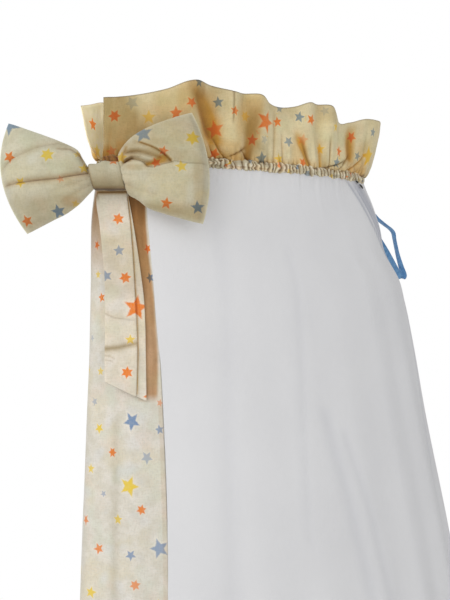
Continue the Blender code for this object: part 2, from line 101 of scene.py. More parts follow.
# --- the frill
FRILL_COLUMNS = ("degrees", "out", "height")
FRILL_ROWS = (
    (-84, -0.0005, 0.0765), (-70, -0.003, 0.076), (-55, -0.002, 0.0785), (-42, 0.003, 0.085), (-30, 0.013, 0.096),
    (-22, -0.006, 0.0945), (-14, 0.007, 0.0876), (-8.5, -0.004, 0.0884), (-4.2, 0.0125, 0.0862),
    (1.2, 0.003, 0.078), (13, 0.001, 0.079), (19, 0.007, 0.0858), (25, 0.001, 0.0862), (30, 0.0125, 0.085),
    (36.5, 0.006, 0.0668), (44, 0.007, 0.069), (55, 0.015, 0.0768), (67, 0.0215, 0.0792), (80, 0.0258, 0.0804),
    (92, 0.012, 0.084), (104, 0.02, 0.086), (117, 0.002, 0.082), (130, 0.012, 0.087), (139, -0.003, 0.081),
    (148, 0.014, 0.085), (156, 0.001, 0.078), (164, 0.012, 0.085), (172, -0.004, 0.083), (180, 0.013, 0.088),
    (188, -0.003, 0.083), (196, 0.012, 0.087), (206, -0.002, 0.082), (216, 0.012, 0.086), (228, 0, 0.08),
    (241, 0.0075, 0.08), (255, 0.0108, 0.073), (269, 0.0235, 0.0655),
)
FRILL_CURL = 0.50
FRILL_FOOT = 0.0030          # height of its lower edge
FRILL_AROUND = 27            # columns over which its surroundings are averaged
FRILL_HALF = 0.0008          # half the thickness of the doubled cloth
# Folds listed for the near side: degrees at the foot and at the top, where it starts and ends up
# the frill (0 to 1), half width in degrees, how far out in millimetres, how warm and how dim the shade
# in it is, and how dark the line along its middle
PLEATS = (
    (-19, -31.4, 0.35, 1.3, 1.7, -2.2, 0.35, 0.46, 0), (-18.6, -28.6, 0.3, 1.05, 3.7, -3.2, 0.92, 0.5, 0),
    (-22.4, -33, 0, 0.3, 0.9, 2.4, 0, 0, 0), (-20.6, -32, 0, 0.26, 0.7, -2.4, 0.3, 0.3, 0.3),
    (-18.6, -31, 0, 0.32, 0.9, 2.8, 0, 0, 0), (-16.6, -30, 0, 0.38, 0.7, -2.8, 0.45, 0.4, 0.38),
    (-15, -26, 0, 0.3, 0.8, 2.6, 0, 0, 0), (-20.8, 28, 0.1, 0.26, 1.1, -2.6, 0.3, 0.5, 0.55),
    (-13, -8, 0, 0.24, 1.2, 2.4, 0, 0, 0), (-5.6, -26.5, 0, 0.25, 0.8, -2.4, 0.25, 0.36, 0.45),
    (-8.6, -26, 0, 0.18, 0.9, 2, 0, 0, 0), (-15.8, -14.4, 0.62, 1.4, 0.35, -0.9, 0.05, 0.2, 0.62),
    (-12, -10.5, 0.3, 1.1, 2, 0.8, 0.16, 0, 0), (-8.2, -4.8, 0.04, 1.15, 2.3, -2.8, 0.45, 0.85, 0),
    (-1.2, -0.6, 0.02, 0.5, 1.1, 1.6, 0, 0, 0), (3, 3.2, 0, 1.1, 0.9, -1.6, 0.1, 0.36, 0.1),
    (5.2, 4.6, 0, 0.34, 0.9, 1.3, 0, 0, 0), (7.8, 7.4, 0, 0.7, 0.6, -1.4, 0.08, 0.22, 0.2),
    (11, 10, 0, 0.6, 0.7, 1.2, 0, 0, 0), (20, 10.2, 0.03, 0.7, 1.5, -3, 0.95, 0.05, 0),
    (21, 11.4, 0, 0.56, 0.7, -1.6, 0.45, 0.4, 0.6), (23.4, 20, 0, 0.7, 1.1, 2.2, 0, 0, 0),
    (26.6, 25.8, 0.03, 0.5, 1.3, -1.8, 0.75, 0.12, 0), (28.8, 28.6, 0, 0.6, 0.9, 1.4, 0.06, 0.18, 0),
    (31.2, 30.4, 0.02, 0.62, 0.7, -2.2, 0.3, 0.45, 0.62), (35, 35.4, 0, 0.6, 1.2, 1.6, 0, 0, 0),
    (26, 84, 0.02, 0.31, 1.7, -3, 0.1, 0.9, 1), (31, 84, 0, 0.26, 1.1, 2.4, 0, 0, 0),
    (36.5, 60, 0, 0.42, 1, -2.4, 0.3, 0.45, 0.6), (39.5, 72, 0, 0.34, 1.2, 2.2, 0, 0, 0),
    (42.5, 85, 0, 0.46, 1.6, -2.2, 0.6, 0.2, 0.25), (46.5, 88, 0, 0.36, 1.6, 1.8, 0, 0, 0),
    (48, 44, 0.3, 0.98, 2.6, -3, 0.85, 0.55, 0.1), (57, 58, 0.2, 0.9, 1.4, -1, 0.05, 0.14, 0.1),
    (62, 68, 0.02, 0.75, 3, 1.6, 0, 0, 0), (-78, -76, 0, 0.7, 3, -1.2, 0.15, 0.2, 0),
    (-66, -62, 0, 0.55, 3, 1.2, 0, 0, 0), (-56, -52, 0, 0.9, 4, -1.4, 0.2, 0.15, 0),
    (-44, -42, 0, 0.5, 2, 1.2, 0, 0, 0), (-37, -37, 0, 0.75, 2.4, -1.6, 0.2, 0.2, 0),
)
# Soft shades on the frill: degrees, lift, how wide and tall, how dim and how warm
FRILL_SHADES = (
    (-76, 0.6, 13, 0.62, 0.78, 0), (-64, 0.86, 8, 0.3, 0.42, 0), (-80, 0.74, 6, 0.44, 0.5, 0),
    (-60, 0.56, 4, 0.2, 0.3, 0.1), (-18.5, 0.9, 3.4, 0.26, 0.42, 0), (-21, 0.42, 3, 0.2, 0, 0.45),
    (-7.6, 0.35, 1.8, 0.26, 0.3, 0.1), (-3.4, 0.17, 2.2, 0.17, 0.5, 0), (-82, 0.06, 8, 0.16, 0.25, 0.7),
    (-66, 0.14, 5, 0.14, 0.1, 0.45), (262, 0.08, 9, 0.16, 0.2, 0.6), (-34, 0.75, 4, 0.3, 0.16, 0.25),
    (-16, 0.14, 8, 0.16, 0.1, 0.45), (15, 0.25, 3.5, 0.22, 0, 0.35), (58, 0.3, 7, 0.3, 0.1, 0.35),
    (-62, 0.2, 18, 0.45, 0.36, 0.2), (-52, 0.5, 15, 0.6, 0.34, 0.02), (-40, 0.6, 8, 0.4, 0.14, 0.16),
    (-28, 0.97, 2.5, 0.22, 0.45, 0.18), (-24, 0.5, 4, 0.42, 0.1, 0.45), (-11, 0.62, 3, 0.25, 0, 0.22),
    (-5.6, 0.55, 2.4, 0.5, 0.2, 0.16), (8, 0.98, 9, 0.2, 0.22, 0.04), (29, 0.92, 4.5, 0.17, 0.45, 0.02),
    (46, 0.5, 3.4, 0.44, 0.14, 0.4), (54, 0.1, 8, 0.12, 0, 0.25),
)

# --- the channel's gathers
RUCHE_PITCHES = (0.0032, 0.0098)   # least and greatest length along the channel of one ruche
RUCHE_COUNT = 260
RUCHE_DEPTH = 0.0026
CHANNEL_FULLNESS = 2.1       # length of flat cloth gathered into each length of channel
CHANNEL_ROUND = 0.0048       # radius of the same girth

# --- the bow, in millimetres
BOW_CENTRE = (0.0389, -0.3997, -0.0240)
BOW_AZIMUTH = 60.0
RIB_COLUMNS = ("top_across", "top_up", "low_across", "low_up", "bulge", "thick")
LEFT_RIBS = (
    (-16, 11, -10, -11.2, 0, 17), (-20.9, 13, -14.4, -13.2, 0, 19.6), (-27.2, 22.6, -22, -21, 1, 27),
    (-34, 33, -32, -31.2, 3, 33), (-52, 41.8, -46, -41.5, 6, 37), (-72, 49.4, -60.4, -48.8, 9, 38),
    (-92, 56.4, -75, -56.5, 12.5, 34), (-105, 60.9, -85.2, -61.8, 16, 24), (-112.8, 63.2, -91.2, -64.8, 19, 3),
)
RIGHT_RIBS = (
    (13.5, 11, 19.5, -11.2, 0, 17), (16.8, 13, 22.6, -13.2, 0, 22.6), (13.8, 26, 26.8, -20, 1.5, 29),
    (23, 41, 36.5, -25.5, 3, 34), (37, 52.5, 49, -35, 5, 38), (57, 62.5, 66, -41, 8, 38),
    (77, 69.5, 85, -46.5, 11, 34), (92, 74, 102, -51, 13, 24), (99.2, 75.6, 112, -53, 13.5, 3),
)
BACK_SHARE = 0.42
# Creases on the front of the wings and the tails, as lines of (across, up) points. A groove sinks on
# both sides of its line, and a step lifts the side below it over the side above it. Depths in
# millimetres at the line's two ends, half width, how warm and how dim the shade in it is, and how dark
# its line
CREASES = {
    "left": (
        ("groove", ((-20, 3.8), (-53, -2.6), (-96, -7.2), (-116, -10.4)), 4.4, 2.2, 4.4, 0.3, 0.24, 0.8),
        ("step", ((-20, 3.8), (-53, -2.6), (-96, -7.2), (-114, -10.4)), 3.4, 1.8, 5, 0.06, 0.16, 0),
        ("groove", ((-36, 36), (-54, 38.5), (-78, 33), (-102, 22.5), (-119, 9.5)), 1.2, 4.2, 5, 0.1, 0.16, 0.14),
        ("step", ((-54, 38.5), (-78, 33), (-102, 22.5), (-117, 9.5)), 0.6, 2, 5, 0.02, 0.05, 0.05),
        ("groove", ((-26, 20), (-32, 27), (-40, 32), (-54, 32)), 2.4, 1, 2.4, 0.22, 0.22, 0.34),
        ("groove", ((-21, 10), (-27, 19), (-31, 28)), 2.4, 1.2, 2, 0.26, 0.16, 0.2),
        ("groove", ((-17, -9), (-33, -19), (-48, -27)), 2.2, 0.6, 3.2, 0.06, 0.14, 0),
        ("groove", ((-19, -2), (-40, -11), (-60, -17)), 1.6, 0.4, 3.6, 0.02, 0.1, 0),
        ("groove", ((-30, 8), (-50, 13), (-70, 14)), 1, 0.3, 5, 0, 0.08, 0),
    ),
    "right": (
        ("step", ((17, 9), (22.5, 15), (29.9, 19.7), (38.3, 17.9), (43.9, 16), (47.2, 13), (49.5, 10.2),
         (55.8, 9.4), (62.5, 11.8), (70.4, 14.1), (78.3, 16.2), (82.5, 16.6), (95.2, 14.9), (110.7, 14.9),
         (118, 14)), 5.5, 2.2, 4.5, 0.04, 0.1, 0.5),
        ("groove", ((24, 18), (31, 20.5), (40, 19), (48, 15.5), (56, 13.5), (64, 15),
         (76, 18)), 4, 2, 2.8, 0.26, 0.2, 0),
        ("groove", ((25, 28), (38, 29.3), (47, 26.8), (55, 24.3), (63, 21.5)), 6, 3.5, 3.6, 0.2, 0.5, 0),
        ("groove", ((30, 23.8), (40, 23.4), (48, 20.8), (56, 18)), -3, -1.6, 2.2, 0, 0, 0),
        ("groove", ((49, 13), (56, 15.6), (63, 18), (69, 21.5)), 3, 2, 3.6, 0.95, 0.14, 0),
        ("step", ((38, 40.5), (42.7, 38.5), (51.7, 35.1), (59.6, 31.5), (64.5, 28.2), (70.9, 23.6),
         (77, 17.5)), -0.6, -4.4, 4, 0.16, 0.28, 0),
        ("groove", ((40, 39.5), (51.7, 34.9), (59.6, 31.3), (64.5, 28), (70.9, 23.4),
         (75.4, 18.7)), 0.8, 2.4, 1.5, 0.6, 0.55, 0.3),
        ("groove", ((22, 16.4), (26.5, 18.3), (31, 20.2)), 3.6, 2.4, 2.6, 0.3, 0.8, 1),
        ("groove", ((20, 20), (21, 27), (24, 34)), 2, 0.8, 2.6, 0.35, 0.36, 0.08),
        ("groove", ((22, -8), (40, -16), (58, -21)), 2.2, 0.6, 3.2, 0.02, 0.12, 0),
        ("groove", ((21, 2), (40, 0), (60, 1)), 2, 0.4, 3.4, 0.02, 0.1, 0),
    ),
    "tail_front": (
        ("step", ((-4, -156), (10, -162), (36, -165)), 1, 0.7, 4, 0.02, 0.12, 0.3),
        ("groove", ((-4, -198), (14, -196), (36, -191)), 1.6, 1.2, 4.6, 0.08, 0.8, 0.2),
        ("groove", ((-4, -205), (4, -206), (9, -209)), 0.8, 0.2, 1.2, 0.02, 0.3, 0.1),
        ("groove", ((-4, -211), (4, -211), (8, -213)), 0.6, 0.2, 1, 0.02, 0.3, 0.1),
        ("groove", ((2, -20), (8, -60), (9, -110)), 0.5, 0.3, 7, 0, 0.05, 0),
        # These two shallow grooves are painted shadow under the knot.
        ("groove", ((-12, -15), (6, -14.8), (24, -14.6)), 0.2, 0.2, 2.6, 0.7, 0.95, 1),
        ("groove", ((-14, -16), (-11.5, -20), (-11, -23)), 0.2, 0.2, 2, 0.1, 0.5, 0.2),
    ),
    "tail_back": (
        # A shallow groove of painted shadow where the front tail's edge lies over this tail.
        ("groove", ((23.5, -20), (27.6, -54), (30.4, -85), (32.2, -114), (33.8, -139), (35.2, -165),
         (36.2, -196), (36.2, -220), (35.6, -250)), 0.2, 0.2, 0.9, 0.8, 0.05, 0.15),
    ),
}
# Soft shades on the wings: across, up, how wide and tall, how dim and how warm
WING_SHADES = {
    "left": (
        (-70, -42, 60, 26, 0.32, 0.08), (-30, 0, 16, 20, 0.12, 0.1), (-60, -58, 60, 12, 0.22, 0.06),
        (-38, -28, 10, 6, 0.05, 0.3), (-66, -33, 24, 11, 0.18, 0.02), (-56, -7, 34, 4, 0.14, 0.06),
    ),
    "right": (
        (24, 27, 14, 14, 0.22, 0.14), (27, 18.6, 3.4, 2.2, 0.9, 0.3), (64, 19, 8, 5, 0.08, 0.4),
        (44, 26.5, 18, 5, 0.22, 0.16), (108, -10, 7, 34, 0.22, 0.16), (60, -44, 60, 14, 0.52, 0.28),
        (24, -16, 9, 16, 0.12, 0.06), (80, 24, 22, 7, 0.22, 0.18), (56, 39, 16, 4.5, 0.14, 0.05),
        (34, 9.5, 14, 3.4, 0.24, 0.14), (70, 54, 50, 26, 0.3, 0.06),
    ),
}
WING_RIBS = 170
WING_LIFTS = 140

KNOT_LENGTH = 37.0
KNOT_SHIFT = 1.2
KNOT_SLANT = -0.22
KNOT_HALF_HEIGHT = 14.7
KNOT_LIFT = 1.1
KNOT_HALF_DEPTH = 13.6
KNOT_SQUARENESS = 0.8
KNOT_ROUND = 0.0152          # radius of the same girth, in metres

TAIL_HALF = 0.62             # half a tail's thickness
TAIL_COLUMNS = ("left", "right", "left_up", "right_up", "back")
FRONT_TAIL = (
    (-10.2, 21.2, -7, -7, 15.05), (-12.4, 22.4, -16, -16, 13.7), (-13, 23, -22, -22, 12.9),
    (-9, 26.7, -54, -54, 10.5), (-5.6, 29.4, -85, -85, 8.5), (-2.8, 31.3, -114, -114, 7.1),
    (-2.1, 32.8, -139, -139, 6.1), (-1.8, 34.2, -163, -166, 4.2), (-1.9, 35.2, -186, -186, 4.1),
    (-2.1, 35.4, -196, -196, 2), (-2.1, 35.2, -218, -226, 1.9), (-2.1, 34.5, -236, -253.8, 0.7),
)
BACK_TAIL = (
    (-9.2, 21.8, -7, -7, 17.65), (-9, 23.4, -16, -16, 16.6), (-8.8, 24.6, -22, -22, 15.8),
    (-4.6, 30.5, -54, -54, 13.4), (0.2, 35.6, -85, -85, 11.4), (4.6, 39.8, -114, -114, 10),
    (7.6, 42.9, -139, -139, 9), (9.2, 44.6, -166, -170, 7.8), (10.2, 45.4, -200, -208, 6.2),
    (10.8, 46.4, -242, -258.9, 3.5),
)

# --- the ribbon
RIBBON_X = -0.0120
RIBBON_HALF_WIDTH = 0.0046
RIBBON_HALF_THICK = 0.0004
# Place y and z, and the compass direction in degrees that the ribbon's width lies in
RIBBON_ROUTE = (
    (0.0027, 0.0001, 35), (0.0071, -0.0067, 35), (0.0133, -0.0176, 30), (0.0205, -0.0293, 22),
    (0.0286, -0.0396, 16), (0.0376, -0.0478, 12), (0.0464, -0.0534, 10), (0.0552, -0.0584, 8), (0.0636, -0.0631, 6),
    (0.0688, -0.0684, 2), (0.0707, -0.0767, -4), (0.0733, -0.0868, -4), (0.077, -0.0997, 0), (0.083, -0.1156, 16),
    (0.0887, -0.1293, 36), (0.0828, -0.1327, 44), (0.0722, -0.1187, 52), (0.0618, -0.1037, 52),
    (0.0519, -0.0903, 50), (0.0413, -0.077, 46), (0.0277, -0.0596, 40), (0.016, -0.0374, 35), (0.0071, -0.0166, 35),
)
RIBBON_STEPS = 12
# The two stitches that tack it on: the thread's half thickness, and degrees round the oval and drop at
# both ends of each
TACK_HALF = 0.00125
TACK_STITCHES = (((52.4, 0.0050), (54.4, 0.0082)), ((55.6, 0.0088), (58.0, 0.0146)))

# --- lines and soft shades in the net
# Line of (degrees round the oval, millimetres down), half width in degrees, dark share, out in mm
NET_LINES = (
    (((44, 4), (49, 30), (55, 62), (64, 85), (71, 105), (76, 130), (80, 160)), 1.3, 0.5, -0.8),
    (((54, 6), (58, 30), (65, 62), (74, 88), (82, 115), (86, 140)), 6.5, 0.6, 0),
    (((50, 14), (56, 42), (61, 66), (69, 88)), 0.9, 0.42, -0.6),
    (((62, 10), (66, 40), (73, 72), (82, 96)), 1.1, 0.36, -0.6),
    (((79, 130), (72, 190), (70, 250), (68, 302), (64, 380), (58, 470)), 1.3, 0.16, -0.8),
    (((2, 95), (0, 200), (-3, 330), (-6, 500)), 1.8, 0.05, -0.5),
    (((5, 300), (9, 400), (12, 520), (15, 800)), 2.4, 0.1, -1),
    (((11, 330), (16, 430), (19, 560), (22, 900)), 1.8, 0.07, -0.7),
    (((-22, 60), (-26, 300), (-30, 700)), 3, 0.05, -0.6),
)

# --- the print's stars
# Place on the flat cloth, radius, all in millimetres, number of points, turn in degrees, colour (0
# orange, 1 yellow, 2 grey-blue) and how strongly it is printed. The rest of each cloth is filled by
# chance.
STARS = {
    "frill": (
        (119, 94, 7.3, 5, 90, 2, 0.9), (108, 69, 7.3, 5, 60, 0, 0.9), (89, 56, 8.5, 5, 20, 0, 0.9),
        (152, 74, 7.7, 5, 95, 2, 0.9), (148, 41, 11.9, 5, 30, 0, 0.8), (173, 64, 6.2, 5, 80, 0, 0.9),
        (194, 60, 7.3, 6, 0, 1, 0.7), (224, 54, 14.7, 5, 72, 0, 1), (248, 57, 7.1, 5, 100, 0, 1),
        (205, 31, 8.1, 5, 85, 0, 0.9), (251, 74, 6.2, 5, 15, 2, 0.7), (281, 66, 7.7, 5, 80, 2, 0.9),
        (299, 64, 8.1, 5, 70, 0, 1), (325, 78, 6.8, 5, 40, 2, 0.3), (345, 59, 7.1, 5, 90, 1, 0.9),
        (265, 34, 7.2, 5, 55, 2, 0.8), (250, 11, 7.3, 5, 30, 1, 0.9), (222, 32, 6.8, 5, 0, 2, 0.35),
        (219, 9, 9, 5, 100, 2, 0.9), (287, 38, 7.9, 5, 10, 0, 0.4), (288, 9, 7.3, 5, 65, 0, 0.9),
        (320, 29, 7.3, 5, 95, 1, 0.9), (360, 29, 7.7, 5, 85, 0, 1), (387, 51, 8.6, 5, 60, 0, 0.9),
        (430, 62, 7.1, 5, 90, 2, 0.8), (401, 27, 7.1, 5, 75, 2, 0.8), (428, 29, 14.5, 5, 100, 1, 1),
        (356, 14, 8.5, 5, 20, 2, 0.9), (145, 11, 8.1, 5, 70, 0, 0.9), (15, 53, 7.9, 6, 0, 0, 1),
        (36, 68, 9, 5, 45, 2, 0.35), (56, 51, 8.8, 5, 90, 1, 0.75), (12, 11, 7.3, 5, 30, 0, 0.6),
        (969, 48, 9, 5, 90, 0, 1), (965, 16, 9.6, 5, 20, 1, 0.8),
    ),
    "near": (
        (48, -316, 6.6, 5, 270, 1, 1), (97, -306, 11.5, 5, 120, 2, 1), (134, -316, 6.3, 5, 100, 2, 0.8),
        (69, -343, 6.4, 6, 60, 0, 1), (116, -348, 8.2, 5, 270, 2, 0.55), (36, -364, 6.3, 5, 90, 1, 0.9),
        (93, -381, 12.5, 5, 70, 1, 1), (56, -392, 4.5, 5, 50, 2, 0.6), (108, -408, 6.4, 6, 15, 0, 0.95),
        (78, -420, 6.5, 5, 90, 1, 0.9), (39, -285, 5.6, 5, 45, 2, 0.5), (136, -285, 5, 5, 0, 0, 0.6),
        (41, -100, 6.3, 5, 65, 0, 1), (43, -135, 5.8, 5, 90, 1, 0.8), (50, -162, 6.6, 5, 30, 0, 1),
        (30, -210, 5, 5, 60, 2, 0.4), (19, -249, 6.2, 5, 10, 1, 0.8), (48, -249, 5.6, 5, 90, 1, 0.8),
        (134.5, -105, 6.6, 5, 45, 0, 1), (134, -139, 6.8, 5, 110, 2, 1),
    ),
    "left": (
        (-111.5, 61, 13.5, 5, 272, 2, 0.95), (-109, 22.4, 7.5, 5, 63, 0, 1), (-64.8, 24.2, 8.2, 6, 20, 1, 0.95),
        (-95.3, -7.2, 6.6, 5, 60, 1, 1), (-53.5, -39.5, 8.3, 5, 103, 2, 1), (-89.5, -50.5, 7.2, 5, 113, 0, 1),
        (-32, 26, 4.6, 5, 30, 1, 0.7), (-24, 9.6, 6, 5, 20, 1, 0.9), (-34, -30.5, 4.8, 5, 80, 1, 0.7),
        (-49.5, -3.6, 5, 5, 40, 0, 0.5),
    ),
    "right": (
        (43.5, 49.5, 12, 5, 100, 2, 0.85), (100.5, 44, 8.8, 6, 25, 1, 1), (67.5, 28.5, 6.2, 5, 75, 0, 0.9),
        (18.5, 22, 7.6, 5, 10, 1, 0.9), (88, 10.8, 7.4, 5, 100, 1, 0.9), (70.5, -30.5, 7.2, 5, 80, 0, 1),
        (106, -35, 8.3, 5, 95, 2, 1), (59, 14.8, 6.6, 5, 40, 0, 0.9),
    ),
    "knot": (
        (62, 6, 6.8, 5, 60, 0, 1),
    ),
    "tails": (
        (12.8, -46.2, 7.2, 6, 20, 0, 1), (14, -83.5, 7, 5, 95, 2, 0.75), (-0.5, -113, 7.3, 5, 35, 2, 0.8),
        (21.4, -115, 7.2, 6, 10, 0, 1), (34, -150, 14.6, 5, 153, 0, 1), (27.5, -187, 6.3, 5, 90, 1, 0.9),
        (24, -225, 7.4, 6, 85, 0, 1),
    ),
}
STAR_GAP = 0.034            # least distance between the middles of the stars placed by chance

# --- colours, linear
STAR_ORANGE = (0.68, 0.178, 0.016, 1.0)
STAR_YELLOW = (0.68, 0.475, 0.045, 1.0)
STAR_BLUE = (0.165, 0.235, 0.315, 1.0)
THREAD_DARK = (0.05, 0.05, 0.045, 1.0)
STITCH_PITCH = 0.0034
HEM_STITCH = 0.0085           # how far the hem's stitches lie from the cloth's edge
# What full dim, warm, line and pale marks multiply the cloth by. The dim, warm, gold and olive colours
# are painted shade in hollows, creases, gaps and under things; the line colour is dark painted shade
# along creases and gaps, and it also darkens the stitches; the pale colour is painted light
DIM_PAINTED_SHADE = (0.56, 0.52, 0.40, 1.0)
WARM_PAINTED_SHADE = (0.80, 0.42, 0.16, 1.0)
GOLD_PAINTED_SHADE = (0.92, 0.57, 0.15, 1.0)
OLIVE_PAINTED_SHADE = (0.54, 0.47, 0.33, 1.0)
PAINTED_SHADE_LINE_AND_STITCH = (0.30, 0.22, 0.14, 1.0)
PAINTED_LIGHT = (1.90, 1.95, 2.05, 1.0)


# === arrays
def smooth(at, knots, values):
    """Cubic curve through the knots, whose slope at each knot comes from its neighbours."""
    knots, values = np.asarray(knots, float), np.asarray(values, float)
    slopes = np.gradient(values, knots)
    cell = np.clip(np.searchsorted(knots, at) - 1, 0, len(knots) - 2)
    width = knots[cell + 1] - knots[cell]
    share = (at - knots[cell]) / width
    rise = 3 * share**2 - 2 * share**3
    start = (share**3 - 2 * share**2 + share) * width * slopes[cell]
    end = (share**3 - share**2) * width * slopes[cell + 1]
    return values[cell] * (1 - rise) + values[cell + 1] * rise + start + end


def table(columns, rows):
    """The rows as arrays, one for each named column."""
    return {name: np.array([row[place] for row in rows]) for place, name in enumerate(columns)}


def ramp(value, low, high):
    """0 below low, 1 above high, and a smooth rise between them."""
    share = unit((value - low) / (high - low))
    return share * share * (3 - 2 * share)


def unit(value):
    """The value, held between 0 and 1."""
    return np.clip(value, 0, 1)


def bell(value):
    """1 at 0, falling away on both sides: exp(-value^2)."""
    return np.exp(-value**2)


def squarer(wave, power):
    """A sine or cosine with its rounds made flatter: its size to the power, with its sign."""
    return np.sign(wave) * np.abs(wave) ** power


def steps_round(count):
    """Equal steps round a full turn, in radians."""
    return 2 * np.pi * np.arange(count) / count


def totals(steps):
    """Running totals of the steps, from 0."""
    return np.concatenate([[0.0], np.cumsum(steps)])


def rounded(distance, reach):
    """Thins to nothing at an edge: (distance / reach)^0.5, and 1 beyond the reach."""
    return np.sqrt(unit(distance / reach))


def one_long(vectors):
    """The vectors with a length of 1."""
    return vectors / np.linalg.norm(vectors, axis=-1, keepdims=True)


def down_to_hem(count, power):
    """Drops from under the channel to the hem, closer together at the top: share^power."""
    return CLOTH_TOP + (NET_DROP - CLOTH_TOP) * np.linspace(0, 1, count) ** power


def no_shade(like):
    """Warm, dim and line marks of 0 for every point."""
    return {mark: np.zeros(like.shape) for mark in ("warm", "dim", "line")}


def soft_noise(x, y, seed):
    """Smooth noise from -1 to 1 whose bumps are about one unit wide."""
    size = 97
    lattice = np.random.default_rng(seed).uniform(-1, 1, (size, size))
    x, y = np.broadcast_arrays(np.asarray(x, float), np.asarray(y, float))
    column, row = np.floor(x).astype(int), np.floor(y).astype(int)
    across, up = x - column, y - row
    across, up = across**2 * (3 - 2 * across), up**2 * (3 - 2 * up)
    low, high = (lattice[level % size, column % size] * (1 - across)
                 + lattice[level % size, (column + 1) % size] * across for level in (row, row + 1))
    return low * (1 - up) + high * up


def oval_at(drop):
    """The oval at one drop: its angles, points and lengths from the near free edge round to the far."""
    oval = table(OVAL_COLUMNS, OVAL_ROWS)
    front_y, back_y, half_width, start = (
        smooth(drop, oval["drop"], oval[name]) for name in OVAL_COLUMNS[1:])
    half_length, centre_y = (back_y - front_y) / 2, (back_y + front_y) / 2
    angle = np.radians(np.linspace(start, start + 360, OVAL_STEPS + 1))
    x = half_width * np.cos(angle)
    y = centre_y + half_length * np.sin(angle)
    outward = one_long(np.stack([np.cos(angle) / half_width, np.sin(angle) / half_length], axis=1))
    length = totals(np.hypot(np.diff(x), np.diff(y)))
    return {"angle": angle, "x": x, "y": y, "out_x": outward[:, 0], "out_y": outward[:, 1],
            "length": length, "whole": length[-1] - SLIT}


def on_oval(oval, along, out):
    """Points x and y at lengths along the oval, moved outwards by out."""
    x, y, out_x, out_y = (np.interp(along, oval["length"], oval[name])
                          for name in ("x", "y", "out_x", "out_y"))
    return x + out * out_x, y + out * out_y


def standing(oval, along, out, height):
    """Points at lengths along the oval, moved outwards by out, at a height."""
    return np.stack(np.broadcast_arrays(*on_oval(oval, along, out), height), axis=-1)


def line_distance(across, up, line):
    """For each point: distance to a line of points (above it is plus), and share of the way along it."""
    line = np.asarray(line, float)
    steps = np.linalg.norm(np.diff(line, axis=0), axis=1)
    reached = totals(steps) / steps.sum()
    nearest = np.full(across.shape, 1e9)
    signed, share = np.zeros(across.shape), np.zeros(across.shape)
    for number, (start, end) in enumerate(zip(line[:-1], line[1:])):
        run = end - start
        along = ((across - start[0]) * run[0] + (up - start[1]) * run[1]) / (run @ run)
        held = unit(along)
        off_x = across - start[0] - held * run[0]
        off_y = up - start[1] - held * run[1]
        gap = np.hypot(off_x, off_y)
        closer = gap < nearest
        side = np.where(off_y * abs(run[0]) - off_x * run[1] * np.sign(run[0]) >= 0, 1.0, -1.0)
        nearest = np.where(closer, gap, nearest)
        signed = np.where(closer, gap * side, signed)
        share = np.where(closer, reached[number] + held * (reached[number + 1] - reached[number]), share)
    return signed, share


def creased(rows, across, up):
    """How far creases lift the cloth, in millimetres, and their shade: warm, dim and line shares.

    groove: -depth * exp(-(distance / half_width)^2), and a slit a sixth as wide
    step:   depth * s * exp(-|distance| / half_width), where s goes from 1 below to -1 above
    """
    lift, shade = np.zeros(across.shape), no_shade(across)
    for kind, line, deep_in, deep_out, half_width, warm, dim, ink in rows:
        gap, share = line_distance(across, up, line)
        depth = deep_in + share * (deep_out - deep_in)
        span = gap / half_width
        if kind == "groove":
            lift -= depth * (0.75 * bell(span) + 0.25 * bell(6 * span))
            near = bell(1.3 * span)
        else:
            lift -= 0.5 * depth * np.tanh(9 * span) * np.exp(-np.abs(span))
            near = bell(0.8 * span) * (np.sign(gap * depth) > 0)
        ends = ramp(share, -0.02, 0.08) * (1 - 0.6 * ramp(share, 0.80, 1.0))
        shade["warm"] += warm * near
        shade["dim"] += dim * near
        shade["line"] += ink * bell(gap / 0.75) * ends
    return lift, {mark: unit(values) for mark, values in shade.items()}


def soft_shades(rows, first, second, shade):
    """Adds soft oval patches of dim and warm to a shade: exp(-(x/wide)^4 - (y/tall)^4) of each row."""
    for x, y, wide, tall, dim, warm in rows:
        patch = np.exp(-((first - x) / wide) ** 4 - ((second - y) / tall) ** 4)
        for mark, share in (("dim", dim), ("warm", warm)):
            shade[mark] = unit(shade[mark] + share * patch)


